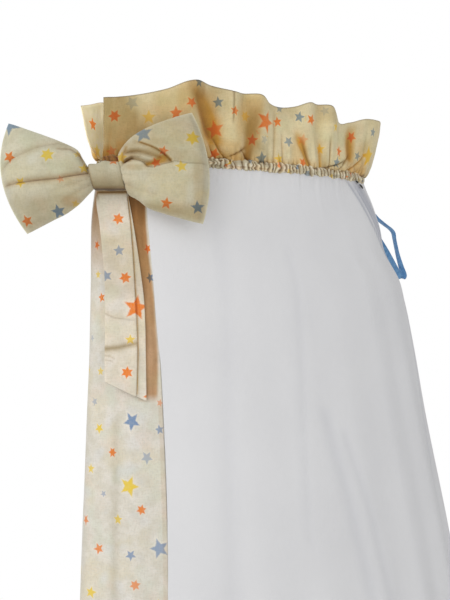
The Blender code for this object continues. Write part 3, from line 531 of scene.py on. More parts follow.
def star_marks(uv, stars, seed, known=(0, 0, 0, 0)):
    """Marks that carry the print: where each point lies in its nearest star, and which star that is.

    star_place = place from the star's middle in its radii, turned with it, and millimetres outside it
    star_kind = number of points, colour, strength. The cloth is filled up with stars set by chance,
    except in the rectangle known (least and greatest along, then up, in millimetres)
    """
    flat = uv.reshape(-1, 2)
    low, high = flat.min(axis=0), flat.max(axis=0)
    rng = np.random.default_rng(seed)
    rows = [tuple(row) for row in stars]
    middles = [np.array(row[:2]) * MM for row in rows]
    for place in rng.uniform(low - 0.004, high + 0.004, (int(60 * np.prod(high - low) / STAR_GAP**2) + 40, 2)):
        chance = rng.uniform(0, 1, 4)
        large = chance[0] > 0.90
        apart = STAR_GAP * (1.28 if large else 1.0)
        if middles and np.min(np.linalg.norm(np.array(middles) - place, axis=1)) < apart:
            continue
        if known[0] * MM < place[0] < known[1] * MM and known[2] * MM < place[1] < known[3] * MM:
            continue
        colour = 0 if chance[1] < 0.42 else 1 if chance[1] < 0.70 else 2
        radius = (11.5 if large else 6.3) + 1.2 * chance[2]
        rows.append((place[0] / MM, place[1] / MM, radius, 6 if not large and chance[3] < 0.35 else 5,
                     360 * chance[3], colour, 0.75 + 0.25 * chance[2]))
        middles.append(place)
    star = np.array(rows, float)
    nearest = np.full(len(flat), np.inf)
    which = np.zeros(len(flat), int)
    for number, row in enumerate(star):
        outside = np.hypot(flat[:, 0] - row[0] * MM, flat[:, 1] - row[1] * MM) - 1.2 * row[2] * MM
        closer = outside < nearest
        nearest[closer], which[closer] = outside[closer], number
    star = star[which]
    turn = np.radians(star[:, 4])
    x, y = (flat[:, axis] / MM - star[:, axis] for axis in (0, 1))
    return {
        "star_place": np.stack([(x * np.cos(turn) + y * np.sin(turn)) / star[:, 2],
                                (y * np.cos(turn) - x * np.sin(turn)) / star[:, 2], nearest / MM], axis=1),
        "star_kind": star[:, [3, 5, 6]],
    }


# === meshes
def add_mesh(name, points, quads, uv, marks, material):
    """An object from points, quads and the quads' corner UVs, with a value for each point by mark."""
    mesh = bpy.data.meshes.new(name)
    mesh.vertices.add(len(points))
    mesh.vertices.foreach_set("co", np.ascontiguousarray(points, np.float32).ravel())
    mesh.loops.add(quads.size)
    mesh.loops.foreach_set("vertex_index", np.ascontiguousarray(quads, np.int32).ravel())
    mesh.polygons.add(len(quads))
    mesh.polygons.foreach_set("loop_start", np.arange(0, quads.size, 4, dtype=np.int32))
    mesh.update(calc_edges=True)
    layer = mesh.uv_layers.new(name="cloth")
    layer.data.foreach_set("uv", np.ascontiguousarray(uv, np.float32).ravel())
    for mark, values in marks.items():
        vector = values.shape[-1:] == (3,) and values.ndim == 2
        attribute = mesh.attributes.new(mark, "FLOAT_VECTOR" if vector else "FLOAT", "POINT")
        attribute.data.foreach_set("vector" if vector else "value",
                                   np.ascontiguousarray(values, np.float32).ravel())
    mesh.validate()
    mesh.shade_smooth()
    mesh.materials.append(material)
    made = bpy.data.objects.new(name, mesh)
    bpy.context.scene.collection.objects.link(made)
    return made


def quads_of(number):
    """The quads of a grid of point numbers."""
    return np.stack([number[:-1, :-1], number[:-1, 1:], number[1:, 1:], number[1:, :-1]], axis=-1)


def numbers(grid, first=0):
    """The numbers of a grid's points, from the first."""
    return first + np.arange(grid.shape[0] * grid.shape[1]).reshape(grid.shape[:2])


def closed(grid):
    """The grid with its first column once more at its end."""
    return np.concatenate([grid, grid[:, :1]], axis=1)


def grid_normal(grid):
    """Unit normals of a grid: along its rows cross down its columns."""
    normal = np.cross(np.gradient(grid, axis=1), np.gradient(grid, axis=0))
    return normal / np.maximum(np.linalg.norm(normal, axis=2, keepdims=True), 1e-12)


def add_surface(name, grid, uv, marks, material):
    """A cloth of one layer."""
    quads = quads_of(numbers(grid)).reshape(-1, 4)
    return add_mesh(name, grid.reshape(-1, 3), quads, uv.reshape(-1, 2)[quads], marks, material)


BORDERS = (np.s_[0, :], np.s_[-1, :], np.s_[:, 0], np.s_[:, -1])


def add_shell(name, front, back, uv, marks, material):
    """A closed piece: two layers of one grid's shape that share the points of their border."""
    number = numbers(front)
    behind = number + number.size
    for edge in BORDERS:
        behind[edge] = number[edge]
    front_quads, back_quads = quads_of(number).reshape(-1, 4), quads_of(behind).reshape(-1, 4)
    if np.sum(grid_normal(front) * (front - back)) >= 0:
        back_quads = back_quads[:, ::-1]
    else:
        front_quads = front_quads[:, ::-1]
    quads = np.concatenate([front_quads, back_quads])
    corner_uv = np.concatenate([uv.reshape(-1, 2)] * 2)[quads]
    both = {mark: np.concatenate([values if mark.startswith("star") else values.ravel()] * 2)
            for mark, values in marks.items()}
    return add_mesh(name, np.concatenate([front.reshape(-1, 3), back.reshape(-1, 3)]), quads,
                    corner_uv, both, material)


def add_ring_piece(name, grid, uv, marks, material):
    """A piece whose rows close on themselves; uv has one column more than the grid."""
    quads, corner = (quads_of(rows).reshape(-1, 4) for rows in (closed(numbers(grid)), numbers(uv)))
    return add_mesh(name, grid.reshape(-1, 3), quads, uv.reshape(-1, 2)[corner], marks, material)


def border_distance(rows_at, columns_at):
    """Distance of each point of a grid from its nearest border, given lengths along both ways."""
    down = np.minimum(rows_at - rows_at[:1], rows_at[-1:] - rows_at)
    side = np.minimum(columns_at - columns_at[:, :1], columns_at[:, -1:] - columns_at)
    return np.minimum(down, side)


# === pieces of cloth
def fold_depth(folds, place, drop):
    """How far the cloth stands out at each place across it, at one drop: a soft hump for each fold."""
    fold = table(FOLD_COLUMNS, folds)
    deep = np.array([np.interp(drop, (0.0, UPPER_DROP, 0.5, NET_DROP), (0.0, upper, 1.6 * upper, hem))
                     for upper, hem in zip(fold["upper"], fold["hem"])])
    share = (place[:, None] - fold["place"]) / fold["half_width"]
    fade = unit(np.minimum(place, 1 - place) / FOLD_FADE)
    return (bell(share) * deep).sum(axis=1) * fade


def panel_width(drop):
    """Width of a front panel, along the oval, at one drop."""
    panel = table(PANEL_COLUMNS, PANEL_ROWS)
    return float(smooth(drop, panel["drop"], panel["width"]))


def hang(span_at, folds, drops, place, fine):
    """The middle of a hanging cloth between two lengths along the oval, and those lengths.

    out = the long folds + fine(place, drop, length), along the oval's outward way
    """
    grid = np.empty((len(drops), len(place), 3))
    lengths = np.empty(grid.shape[:2])
    for row, drop in enumerate(drops):
        oval = oval_at(drop)
        start, end = span_at(drop, oval["whole"])
        lengths[row] = start + place * (end - start)
        out = fold_depth(folds, place, drop) + fine(place, drop, lengths[row] - start)
        wave = HEM_UNEVEN * np.sin(2 * np.pi * HEM_WAVES * place) * (drop / NET_DROP) ** 4
        grid[row] = standing(oval, lengths[row], out, -drop + wave)
    return grid, lengths


def net_gathers(place, drop, along):
    """Gathers that start under the channel and die away downwards, and slack between the folds.

    1 mm at the channel, 16 mm apart, gone after 60 mm; then streaks 35 mm apart, 0.3 mm high
    """
    tight = soft_noise(place * 104, drop * 3, 11) + 0.5 * soft_noise(place * 215, drop * 5, 12)
    streaks = soft_noise(place * 34, drop * 0.9, 13)
    sag = soft_noise(place * 14, drop * 5, 15)
    edge = unit(np.minimum(place, 1 - place) / FOLD_FADE)
    return MM * edge * (0.9 * tight * math.exp(-drop / 0.020)
                        + 0.30 * streaks * min(1.0, drop / 0.10) * (1 + 0.8 * drop)
                        + 0.7 * sag * min(1.0, drop / 0.25))


def make_net(material):
    """The sheer net, one layer, from the near panel round the back to the far panel."""
    drops = down_to_hem(140, 1.45)
    place = np.linspace(0, 1, 560)

    def span(drop, whole):
        inset = panel_width(drop) - 0.001
        return inset, whole - inset

    grid, lengths = hang(span, NET_FOLDS, drops, place, net_gathers)
    degrees = np.stack([np.degrees(np.interp(row, oval["length"], oval["angle"]))
                        for row, oval in zip(lengths, map(oval_at, drops))])
    down = np.broadcast_to(drops[:, None] / MM, lengths.shape)
    # Dark lines of painted shade along the net's folds; they also move the net out or in a little.
    dim, out = np.zeros(down.shape), np.zeros(down.shape)
    for line, half_width, dark, stand in NET_LINES:
        line = np.array(line, float)
        middle = np.interp(down, line[:, 1], line[:, 0])
        reach = ramp(down, line[0, 1] - 6, line[0, 1] + 10) * (1 - ramp(down, line[-1, 1] * 0.85, line[-1, 1]))
        near = bell((degrees - middle) / half_width) * reach
        dim += dark * near
        out += MM * stand * near
    # A band of painted shade just under the channel, uneven along it.
    dim += 0.30 * bell(down / 9.0) * (0.5 + 0.5 * soft_noise(lengths / 0.006, down / 60, 16))
    normal = grid_normal(grid)
    outward = np.sign(np.sum(normal[..., 0] * np.cos(np.radians(degrees))))
    grid = grid + normal * (outward * out)[..., None]
    uv = np.stack(np.broadcast_arrays(lengths, -drops[:, None]), axis=-1)
    return add_surface("net_sheer", grid, uv, {"dim": unit(dim)}, material)


def panel_creases(seed, near):
    """Fine slack of a front panel, a pressed valley down it and small gathers at its top."""
    middle = 0.52 if near else 0.45

    def fine(place, drop, along):
        valley = -1.5 * bell((place - middle) / 0.06) * ramp(drop, 0.26, 0.42)
        slack = 0.6 * soft_noise(place * 5, drop * 7, seed) + 0.25 * soft_noise(place * 11, drop * 16, seed + 1)
        gather = 1.2 * soft_noise(place * 13, drop * 6, seed + 2) * math.exp(-drop / 0.05)
        return MM * (valley + slack * min(1.0, drop / 0.05) + gather)
    return fine


def panel_shade(flat, down):
    """Painted shadow of the tails on the near panel: a brown strip beside them and a faint one on their
    left; also painted shadow under the bow, painted shade in a valley low down and under the gathers at
    its top, and a darker, warmer band along the seam.

    strip = 1 between its left and right lengths, with soft edges, down to the tails' end
    """
    right = np.interp(down, (0.02, 0.065, 0.107, 0.167, 0.225, 0.280),
                      (0.138, 0.1355, 0.1350, 0.1385, 0.1375, 0.1330))
    left = right - np.interp(down, (0.02, 0.10, 0.28), (0.055, 0.040, 0.026))
    strip = ramp(flat, left - 0.004, left + 0.004) * (1 - ramp(flat, right - 0.003, right + 0.002))
    strip *= 1 - ramp(down, 0.274, 0.285)
    deep = np.interp(down, (0.0, 0.03, 0.09, 0.17, 0.26), (0.55, 1.0, 0.92, 0.26, 0.24))
    deep = deep + 0.30 * bell((flat - right + 0.005) / 0.004) * ramp(down, 0.12, 0.18)
    deep = deep + 0.26 * soft_noise(flat / 0.0045, down / 0.03, 72) - 0.25 * ramp(flat, right - 0.012, right) \
        * (1 - ramp(down, 0.09, 0.14))
    beside = np.interp(down, (0.02, 0.05, 0.09, 0.14), (0.8, 1.0, 0.55, 0.0))
    beside = beside * ramp(flat, 0.006, 0.026) * (1 - ramp(flat, 0.07, 0.08))
    seam = ramp(flat, 0.1325, 0.1345) * ramp(down, 0.27, 0.29)
    valley = ramp(down, 0.27, 0.33) * bell((flat - 0.074) / 0.007)
    gathered = np.exp(-down / 0.02)
    under = bell((down - 0.052) / 0.018) * strip
    # How warm the tails' painted shadow is: a little less warm lower down.
    shadow_warmth_and_ink_wear = 0.92 - 0.14 * ramp(down, 0.12, 0.20)
    return {"warm": unit(shadow_warmth_and_ink_wear * strip + 0.20 * under + 0.88 * beside + 0.13 * seam),
            "dim": unit(deep * strip + 0.4 * beside + 0.34 * valley + 0.3 * gathered + 0.1 * seam),
            "line": 0.30 * under}


def make_panel(name, near, seed, material):
    """A star-print front panel with a turned hem down its free edge and along its foot."""
    drops = down_to_hem(260, 1.25)
    place = np.linspace(0, 1, 76)

    def span(drop, whole):
        return (0.0, panel_width(drop)) if near else (whole - panel_width(drop), whole)

    grid, lengths = hang(span, PANEL_FOLDS, drops, place, panel_creases(seed, near))
    down, flat = np.meshgrid(drops, PANEL_FLAT * place, indexing="ij")
    free = flat if near else PANEL_FLAT - flat
    hem = np.maximum(1 - ramp(free, *SIDE_HEM), ramp(down, *FOOT_HEM))
    half = MM * (PANEL_HALF + HEM_MORE * hem) * rounded(border_distance(down, flat), 0.0012)
    thick = grid_normal(grid) * half[..., None]
    marks = panel_shade(flat, down) if near else no_shade(flat)
    marks["edge"] = np.minimum(free, NET_DROP - down)
    uv = np.stack([flat, -down], axis=-1)
    known = (-10, 150, -425, 10) if near else (0, 0, 0, 0)
    marks |= star_marks(uv, STARS["near"] if near else (), seed, known)
    return add_shell(name, grid + thick, grid - thick, uv, marks, material)


def ruches(along, seed=35):
    """The channel's gathers along it: each ruche's round rise from 0 to 1, and its size.

    rise = sin(pi * share of the ruche)^0.6, in ruches of uneven length
    """
    rng = np.random.default_rng(seed)
    edges = totals(rng.uniform(*RUCHE_PITCHES, RUCHE_COUNT))
    sizes = rng.uniform(0.55, 1.25, RUCHE_COUNT + 1)
    number = np.clip(np.searchsorted(edges, along) - 1, 0, RUCHE_COUNT - 1)
    share = unit((along - edges[number]) / (edges[number + 1] - edges[number]))
    return np.sin(np.pi * share) ** 0.6, sizes[number]


def frill_columns():
    """Lengths along the channel, closer together on the near side, which shows its small gathers."""
    whole = oval_at(0.0)["whole"]
    near = np.linspace(0.0, 0.50, 450, endpoint=False)
    return np.concatenate([near, np.linspace(0.50, whole, 250)])


def frill_relief(degrees, lift):
    """How far the small folds stand out, in metres, and their shade, over the frill."""
    out, shade = np.zeros(degrees.shape), no_shade(degrees)
    for foot, top, start, end, half_width, stand, warm, dim, line in PLEATS:
        slant = top - foot
        middle = foot + lift * slant
        middle = middle + 0.5 * np.sin(np.pi * unit(lift)) * np.sign(slant)
        middle = middle + 0.04 * slant * np.sin(np.pi * unit(lift / end))
        span = (degrees - middle) / (half_width * (0.60 + 0.8 * lift))
        rise = ramp(lift, start - 0.12, start + 0.02) * (1 - ramp(lift, 0.45 * (start + end), end))
        hump = bell(span) * rise
        out += MM * stand * hump
        shade["warm"] += warm * hump
        shade["dim"] += dim * hump
        shade["line"] += line * bell((degrees - middle) / (0.42 + 0.012 * abs(slant))) * rise
    rng = np.random.default_rng(5)
    for place in np.arange(-84, 270, 2.7):
        middle = place + rng.uniform(-1.2, 1.2)
        slant, reach = rng.uniform(-4, 4), rng.uniform(0.14, 0.46)
        height, width = rng.uniform(0.7, 1.9) * rng.choice((-1, 1)), rng.uniform(0.6, 1.3)
        hump = bell((degrees - middle - slant * lift) / (width * (0.8 + 1.2 * lift)))
        hump *= 1 - ramp(lift, 0.1 * reach, reach)
        out += MM * height * hump
        if height < 0:
            shade["dim"] += 0.22 * hump
            shade["line"] += 0.18 * hump**4
    slack = soft_noise(degrees / 7.0, lift * 2.6, 21) + 0.5 * soft_noise(degrees / 3.2, lift * 5, 22)
    out += MM * 0.55 * slack * ramp(lift, 0.05, 0.4)
    return out, shade


def make_frill(material):
    """The doubled frill: up its outer layer, over the folded top edge and down its inner layer.

    out = edge_out * lift^0.5 + small folds; height = foot + (edge_height - foot) * lift
    dim = painted shade where the cloth lies behind its surroundings, over 5 mm, and the listed painted shades
    """
    frill = table(FRILL_COLUMNS, FRILL_ROWS)
    oval = oval_at(0.0)
    along = frill_columns()
    degrees = np.degrees(np.interp(along, oval["length"], oval["angle"]))
    lift = np.linspace(0, 1, 46) ** 1.2
    edge_out = smooth(degrees, frill["degrees"], frill["out"])
    edge_height = smooth(degrees, frill["degrees"], frill["height"])
    degree_grid, lift_grid = np.meshgrid(degrees, lift)
    relief, shade = frill_relief(degree_grid, lift_grid)
    rise, size = ruches(along)
    foot_gather = MM * 1.5 * (rise - 0.6) * size * (1 - ramp(lift_grid, 0.03, 0.20))
    out = edge_out * lift_grid**FRILL_CURL + relief + foot_gather
    height = FRILL_FOOT + (edge_height - FRILL_FOOT) * lift_grid
    middle = standing(oval, along, out, height)
    ends = rounded(np.minimum(along, along[-1] - along), 0.0015)
    half = FRILL_HALF * ends * (1 + 0.35 * soft_noise(degree_grid / 2.2, lift_grid * 9, 23)) \
        * rounded(1.0 - lift_grid, 0.02)
    normal = grid_normal(middle)
    outer = np.einsum("ij,ij->i", normal[10, :, :2],
                      np.stack(on_oval(oval, along, 1.0), 1) - np.stack(on_oval(oval, along, 0.0), 1))
    normal *= np.sign(np.median(outer))
    window = np.hanning(FRILL_AROUND)
    window /= window.sum()
    around = np.stack([np.convolve(np.pad(row, FRILL_AROUND // 2, mode="edge"), window, mode="valid")
                       for row in out])
    # Painted shade in the hollows, where the cloth lies behind its surroundings, and at the foot between the
    # ruches; dark lines of painted shade along the folded top edge and the ragged foot.
    hollow = unit((around - out) / 0.005) * (1 - ramp(degree_grid, 225, 240))
    ragged = 0.045 * (1 + soft_noise(degree_grid / 2.4, 3.5 + 0 * lift_grid, 24))
    shade["dim"] += 0.42 * hollow + 0.55 * (1 - rise) * (1 - ramp(lift_grid, 0.02, 0.15))
    shade["warm"] += 0.28 * hollow + 0.30 * (1 - ramp(lift_grid, 0.03, 0.18))
    shade["line"] += 0.55 * ramp(lift_grid, 0.975, 0.995) + 0.8 * (1 - ramp(lift_grid, 0.35 * ragged, ragged))
    shade["line"] += 0.5 * (1 - rise) ** 3 * (1 - ramp(lift_grid, 0.0, 0.12))
    soft_shades(FRILL_SHADES, degree_grid, lift_grid, shade)
    marks = {mark: unit(values) for mark, values in shade.items()}
    # Painted light on the far end's flap.
    marks["pale"] = 0.85 * ramp(degree_grid, 232, 243)
    ruled = totals(np.linalg.norm(np.diff(middle[-12], axis=0), axis=1))
    uv = np.stack([np.broadcast_to(ruled, out.shape), height], axis=-1)
    marks |= star_marks(uv, STARS["frill"], 101, (60, 470, 0, 120))
    thick = normal * half[..., None]
    return add_shell("frill_gathered", middle + thick, middle - thick, uv, marks, material)


def make_channel(material):
    """The gathered channel: a flattened tube whose skin rises in rounded ruches with tight gaps.

    skin = section * (1 - depth * (1 - rise)), with each ruche a little slanted
    """
    oval = oval_at(0.0)
    whole = oval["whole"]
    along = np.linspace(0.0, whole, 1700)
    turn = steps_round(32)
    along_grid, turn_grid = np.meshgrid(along, turn, indexing="ij")
    sine, cosine = np.sin(turn_grid), np.cos(turn_grid)
    slant = sine * (0.0016 + 0.0036 * soft_noise(along_grid / 0.014, 7.5, 32))
    drift = 0.0022 * soft_noise(along_grid / 0.007, sine * 1.8 + 3, 31)
    rise, size = ruches(along_grid + slant + drift)
    depth = RUCHE_DEPTH * (1 - rise * unit(size))
    ends = rounded(np.minimum(along_grid, whole - along_grid), 0.0025)
    ends = ends * (1 - 0.45 * ramp(along_grid, whole - 0.032, whole))
    level = CHANNEL_HALF_HEIGHT * sine
    stitched = sum(bell((level - row) / 0.0008) for row in (0.0025, -0.0026))
    wide = (CHANNEL_HALF_THICKNESS + 0.0012 - depth - 0.0006 * stitched) * ends
    tall = (CHANNEL_HALF_HEIGHT + 0.0009 - 0.8 * depth
            + 0.0013 * soft_noise(along_grid / 0.0065, 9 + np.sign(sine), 34)) * ends
    square, upright = squarer(cosine, 0.75), squarer(sine, 0.85)
    grid = standing(oval, along_grid, wide * square, tall * upright)
    # Painted shade in the gaps between the ruches, along the stitch rows and at the near end; painted highlights on
    # the ruches' tops (pale). Patch makes these uneven, and the line mark also carries the dark specks of the
    # stitches.
    speck = unit(stitched) * ramp(soft_noise(along_grid / 0.0022, turn_grid * 2, 36), 0.25, 0.6)
    patch = 0.5 + 0.5 * soft_noise(along_grid / 0.013, sine * 2 + 5, 37)
    shaded = 1 - ramp(along_grid, 0.020, 0.034)
    marks = {"warm": unit(0.40 * (1 - rise) + 0.30 * ramp(patch, 0.55, 0.9) + 1.0 * shaded),
             "dim": unit(0.72 * (1 - rise) + 0.20 * stitched + 0.25 * ramp(-patch, -0.4, 0.0) + 0.7 * shaded),
             "line": unit(0.85 * (1 - rise) ** 2 + 0.6 * speck),
             "pale": 0.60 * ramp(rise, 0.80, 1.0) * ramp(patch, 0.2, 0.7) * (1 - shaded)}
    around = np.append(turn, 2 * np.pi) * CHANNEL_ROUND
    uv = np.stack(np.meshgrid(along * CHANNEL_FULLNESS, around, indexing="ij"), axis=-1)
    marks |= star_marks(uv[:, :-1], (), 102)
    return add_ring_piece("channel_ruched", grid, uv, marks, material)


# === the bow
def bow_space(across, up, out):
    """Places across, up and out from the bow's middle, in millimetres, as points in metres."""
    turn = math.radians(BOW_AZIMUTH)
    across_way = np.array([math.cos(turn), math.sin(turn), 0.0])
    out_way = np.array([math.sin(turn), -math.cos(turn), 0.0])
    place = np.multiply.outer(across, across_way) + np.multiply.outer(out, out_way)
    place[..., 2] += up
    return np.array(BOW_CENTRE) + MM * place


def make_wing(name, which, ribs, material):
    """One padded wing: a front and a back that meet in a seam round its outline.

    out = +-thickness * share * (1 - height^2)^0.5, with the creases cut into the front
    """
    rib = table(RIB_COLUMNS, ribs)
    side = -1.0 if which == "left" else 1.0
    knots = np.linspace(0, 1, len(ribs))
    run = np.sin(np.linspace(0, np.pi / 2, WING_RIBS))
    height = np.sin(np.linspace(-np.pi / 2, np.pi / 2, WING_LIFTS))
    run_grid, height_grid = np.meshgrid(run, height, indexing="ij")
    row = {key: smooth(run, knots, values)[:, None] for key, values in rib.items()}
    lift = (height_grid + 1) / 2
    across = row["low_across"] + lift * (row["top_across"] - row["low_across"])
    across = across + side * row["bulge"] * (1 - height_grid**2)
    up = row["low_up"] + lift * (row["top_up"] - row["low_up"])
    full = np.sqrt(unit(1 - height_grid**2))
    closing = rounded(1 - run_grid, 0.10)
    thick = np.maximum(row["thick"], 14 * closing) * np.minimum(1, closing)
    seam = np.exp(-((1 - np.abs(height_grid)) / 0.05))
    pucker = 0.5 * soft_noise(across / 4.0, up / 4.0, 41) * seam
    slack = 0.9 * soft_noise(across / 19, up / 15, 42) + 0.40 * soft_noise(across / 7, up / 6, 43)
    slack += 0.16 * soft_noise(across / 2.6, up / 2.2, 45)
    lifted, shade = creased(CREASES[which], across, up)
    inside = np.minimum(1, 2.4 * full) * closing
    front = full * thick * (1 - BACK_SHARE) + (lifted + slack) * inside
    front = np.maximum(front, 0.10 * full * thick) + pucker * closing
    back = full * thick * BACK_SHARE + 0.8 * soft_noise(across / 17, up / 13, 44) * inside
    back = np.maximum(back, 0.10 * full * thick)
    for border in BORDERS:
        front[border], back[border] = 0.0, 0.0
    # Painted shade from the creases and the soft shades, and painted light along the rim (pale).
    soft_shades(WING_SHADES[which], across, up, shade)
    marks = {mark: values * inside for mark, values in shade.items()}
    rim = np.minimum((1 - np.abs(height_grid)) * 30 + 1.2, (1 - run_grid) * 90)
    marks["pale"] = 0.22 * bell(rim / 1.6)
    uv = MM * np.stack([across, up], axis=-1)
    marks |= star_marks(uv, STARS[which], 103, (-125, 125, -80, 90))
    return add_shell(name, bow_space(across, up, front), bow_space(across, up, -back), uv, marks,
                     material)


def make_knot(material):
    """The knot: a band round the waist with rolled edges and a few folds that run round it."""
    turn = steps_round(120)
    share = np.linspace(-1, 1, 61)
    share_grid, turn_grid = np.meshgrid(share, turn, indexing="ij")
    round_up = squarer(np.cos(turn_grid), KNOT_SQUARENESS)
    round_out = squarer(np.sin(turn_grid), KNOT_SQUARENESS)
    roll = np.sqrt(unit(1 - np.abs(share_grid) ** 14))
    swell = 0.9 * (1 - share_grid**2) - (1.2 - 0.7 * share_grid) * (1 - roll)
    swell += 0.30 * np.cos(7.0 * share_grid + 0.8 * np.sin(turn_grid)) * roll
    swell += 0.28 * soft_noise(share_grid * 3.2, turn_grid * 2.2, 51) * roll
    up = (KNOT_HALF_HEIGHT + swell) * round_up + KNOT_LIFT
    up = up + 3.0 * ramp(share_grid, -0.6, 0.2) * unit(round_up) ** 3
    out = (KNOT_HALF_DEPTH + swell) * round_out
    across = KNOT_LENGTH / 2 * share_grid + KNOT_SHIFT + KNOT_SLANT * up
    grid = bow_space(across, up, out)
    # Painted shade: darker towards its left end and on its lower side, with a dark line of painted shadow along its
    # foot.
    edge = unit((-share_grid - 0.86) / 0.14)
    below, foot = ramp(-up, -13, 11), ramp(-up, 9.0, 13.0)
    marks = {"warm": 0.25 * edge + 0.20 * below + 0.3 * foot,
             "dim": unit(0.3 * edge + 0.78 * below + 0.4 * foot),
             "line": unit(0.45 * edge + 0.85 * ramp(-up, 11.6, 13.8))}
    around = np.append(turn, 2 * np.pi) * KNOT_ROUND
    uv = np.stack(np.meshgrid(share * 0.0185 + 0.05, around, indexing="ij"), axis=-1)
    marks |= star_marks(uv[:, :-1], STARS["knot"], 105, (0, 90, 0, 60))
    return add_ring_piece("knot_band", grid, uv, marks, material)


def make_tail(name, node, rows, material):
    """One tail: a flat doubled strip with a slanted end, its creases and a seam along its sides."""
    tail = table(TAIL_COLUMNS, rows)
    knots = -tail["left_up"]
    at = np.linspace(knots[0], knots[-1], 190)
    share = (1 - np.cos(np.linspace(0, np.pi, 40))) / 2
    row = {key: smooth(at, knots, values)[:, None] for key, values in tail.items()}
    across = row["left"] + share * (row["right"] - row["left"])
    up = row["left_up"] + share * (row["right_up"] - row["left_up"])
    lifted, marks = creased(CREASES[node], across, up)
    slack = 0.45 * soft_noise(across / 15, up / 24, 61) + 0.2 * soft_noise(across / 7, up / 9, 62)
    out = -row["back"] + lifted + slack * ramp(-up, 15, 40)
    half = TAIL_HALF * rounded(border_distance(-up, across), 1.3)
    edge = MM * np.minimum(across - across[:, :1], across[:, -1:] - across)
    # A band of painted shade part way down the tail.
    marks["dim"] = unit(marks["dim"] + 0.28 * ramp(-up, 55, 75) * (1 - ramp(-up, 125, 150)))
    marks["edge"] = edge + 0.0090
    uv = MM * np.stack([across, up], axis=-1)
    marks |= star_marks(uv, STARS["tails"], 106, (-20, 34, -270, 0))
    return add_shell(name, bow_space(across, up, out + half), bow_space(across, up, out - half), uv,
                     marks, material)


def make_ribbon(material):
    """The ribbon loop: a thin band along its route, its flat side turned as it is held."""
    turns = len(RIBBON_ROUTE)
    count = RIBBON_STEPS * turns
    step = np.arange(-3, turns + 4)
    route = np.array(RIBBON_ROUTE)[step % turns]
    y, z, compass = (smooth(np.arange(count) / RIBBON_STEPS, step, values) for values in route.T)
    line = np.stack([np.full(count, RIBBON_X), y, z], axis=1)
    run = np.roll(line, -1, axis=0) - np.roll(line, 1, axis=0)
    length = np.linalg.norm(run, axis=1, keepdims=True)
    run /= length
    compass = np.radians(compass)
    facing = np.stack([np.cos(compass), np.sin(compass), np.zeros(count)], axis=1)
    wide = one_long(facing - run * np.sum(run * facing, axis=1, keepdims=True))
    thick = np.cross(run, wide)
    section = steps_round(20)
    across, through = squarer(np.cos(section), 0.35), squarer(np.sin(section), 0.6)
    curl = 0.0006 * across**2
    grid = (line[:, None, :] + wide[:, None, :] * (across * RIBBON_HALF_WIDTH)[None, :, None]
            + thick[:, None, :] * (through * RIBBON_HALF_THICK - curl)[None, :, None])
    grid = np.concatenate([grid, grid[:1]])
    along = totals(length[:, 0] / 2)
    around = np.concatenate([across, across[:1]]) * RIBBON_HALF_WIDTH
    uv = np.stack(np.meshgrid(along, around, indexing="ij"), axis=-1)
    return add_ring_piece("ribbon_blue", grid, uv, {}, material)


def make_tack(material):
    """The dark thread that tacks the ribbon on: two short stitches over the net under the channel.

    radius = half thickness * sin(pi * share of the stitch)^0.5
    """
    turn = steps_round(8)
    share = np.linspace(0, 1, 9)
    bulge = np.sin(np.pi * share)
    tube = np.zeros((len(share), len(turn)))
    ring = quads_of(closed(numbers(tube))).reshape(-1, 4)
    points = []
    for ends in TACK_STITCHES:
        stitch = []
        for degrees, drop in ends:
            oval = oval_at(drop)
            along = np.interp(math.radians(degrees), oval["angle"], oval["length"])
            stitch.append(standing(oval, along, 0.0022, -drop))
        run = one_long(stitch[1] - stitch[0])
        side = one_long(np.cross(run, (0, 0, 1.0)))
        round_run = np.outer(np.cos(turn), side) + np.outer(np.sin(turn), np.cross(side, run))
        centre = stitch[0] + np.outer(share, stitch[1] - stitch[0]) + np.outer(bulge, (0.0006, 0.00036, 0.0))
        radius = TACK_HALF * np.sqrt(np.maximum(0.02, bulge))
        points.append((centre[:, None] + radius[:, None, None] * round_run).reshape(-1, 3))
    quads = np.concatenate([ring, ring + tube.size])
    return add_mesh("thread_tack", np.concatenate(points), quads, np.zeros((len(quads), 4, 2)), {}, material)


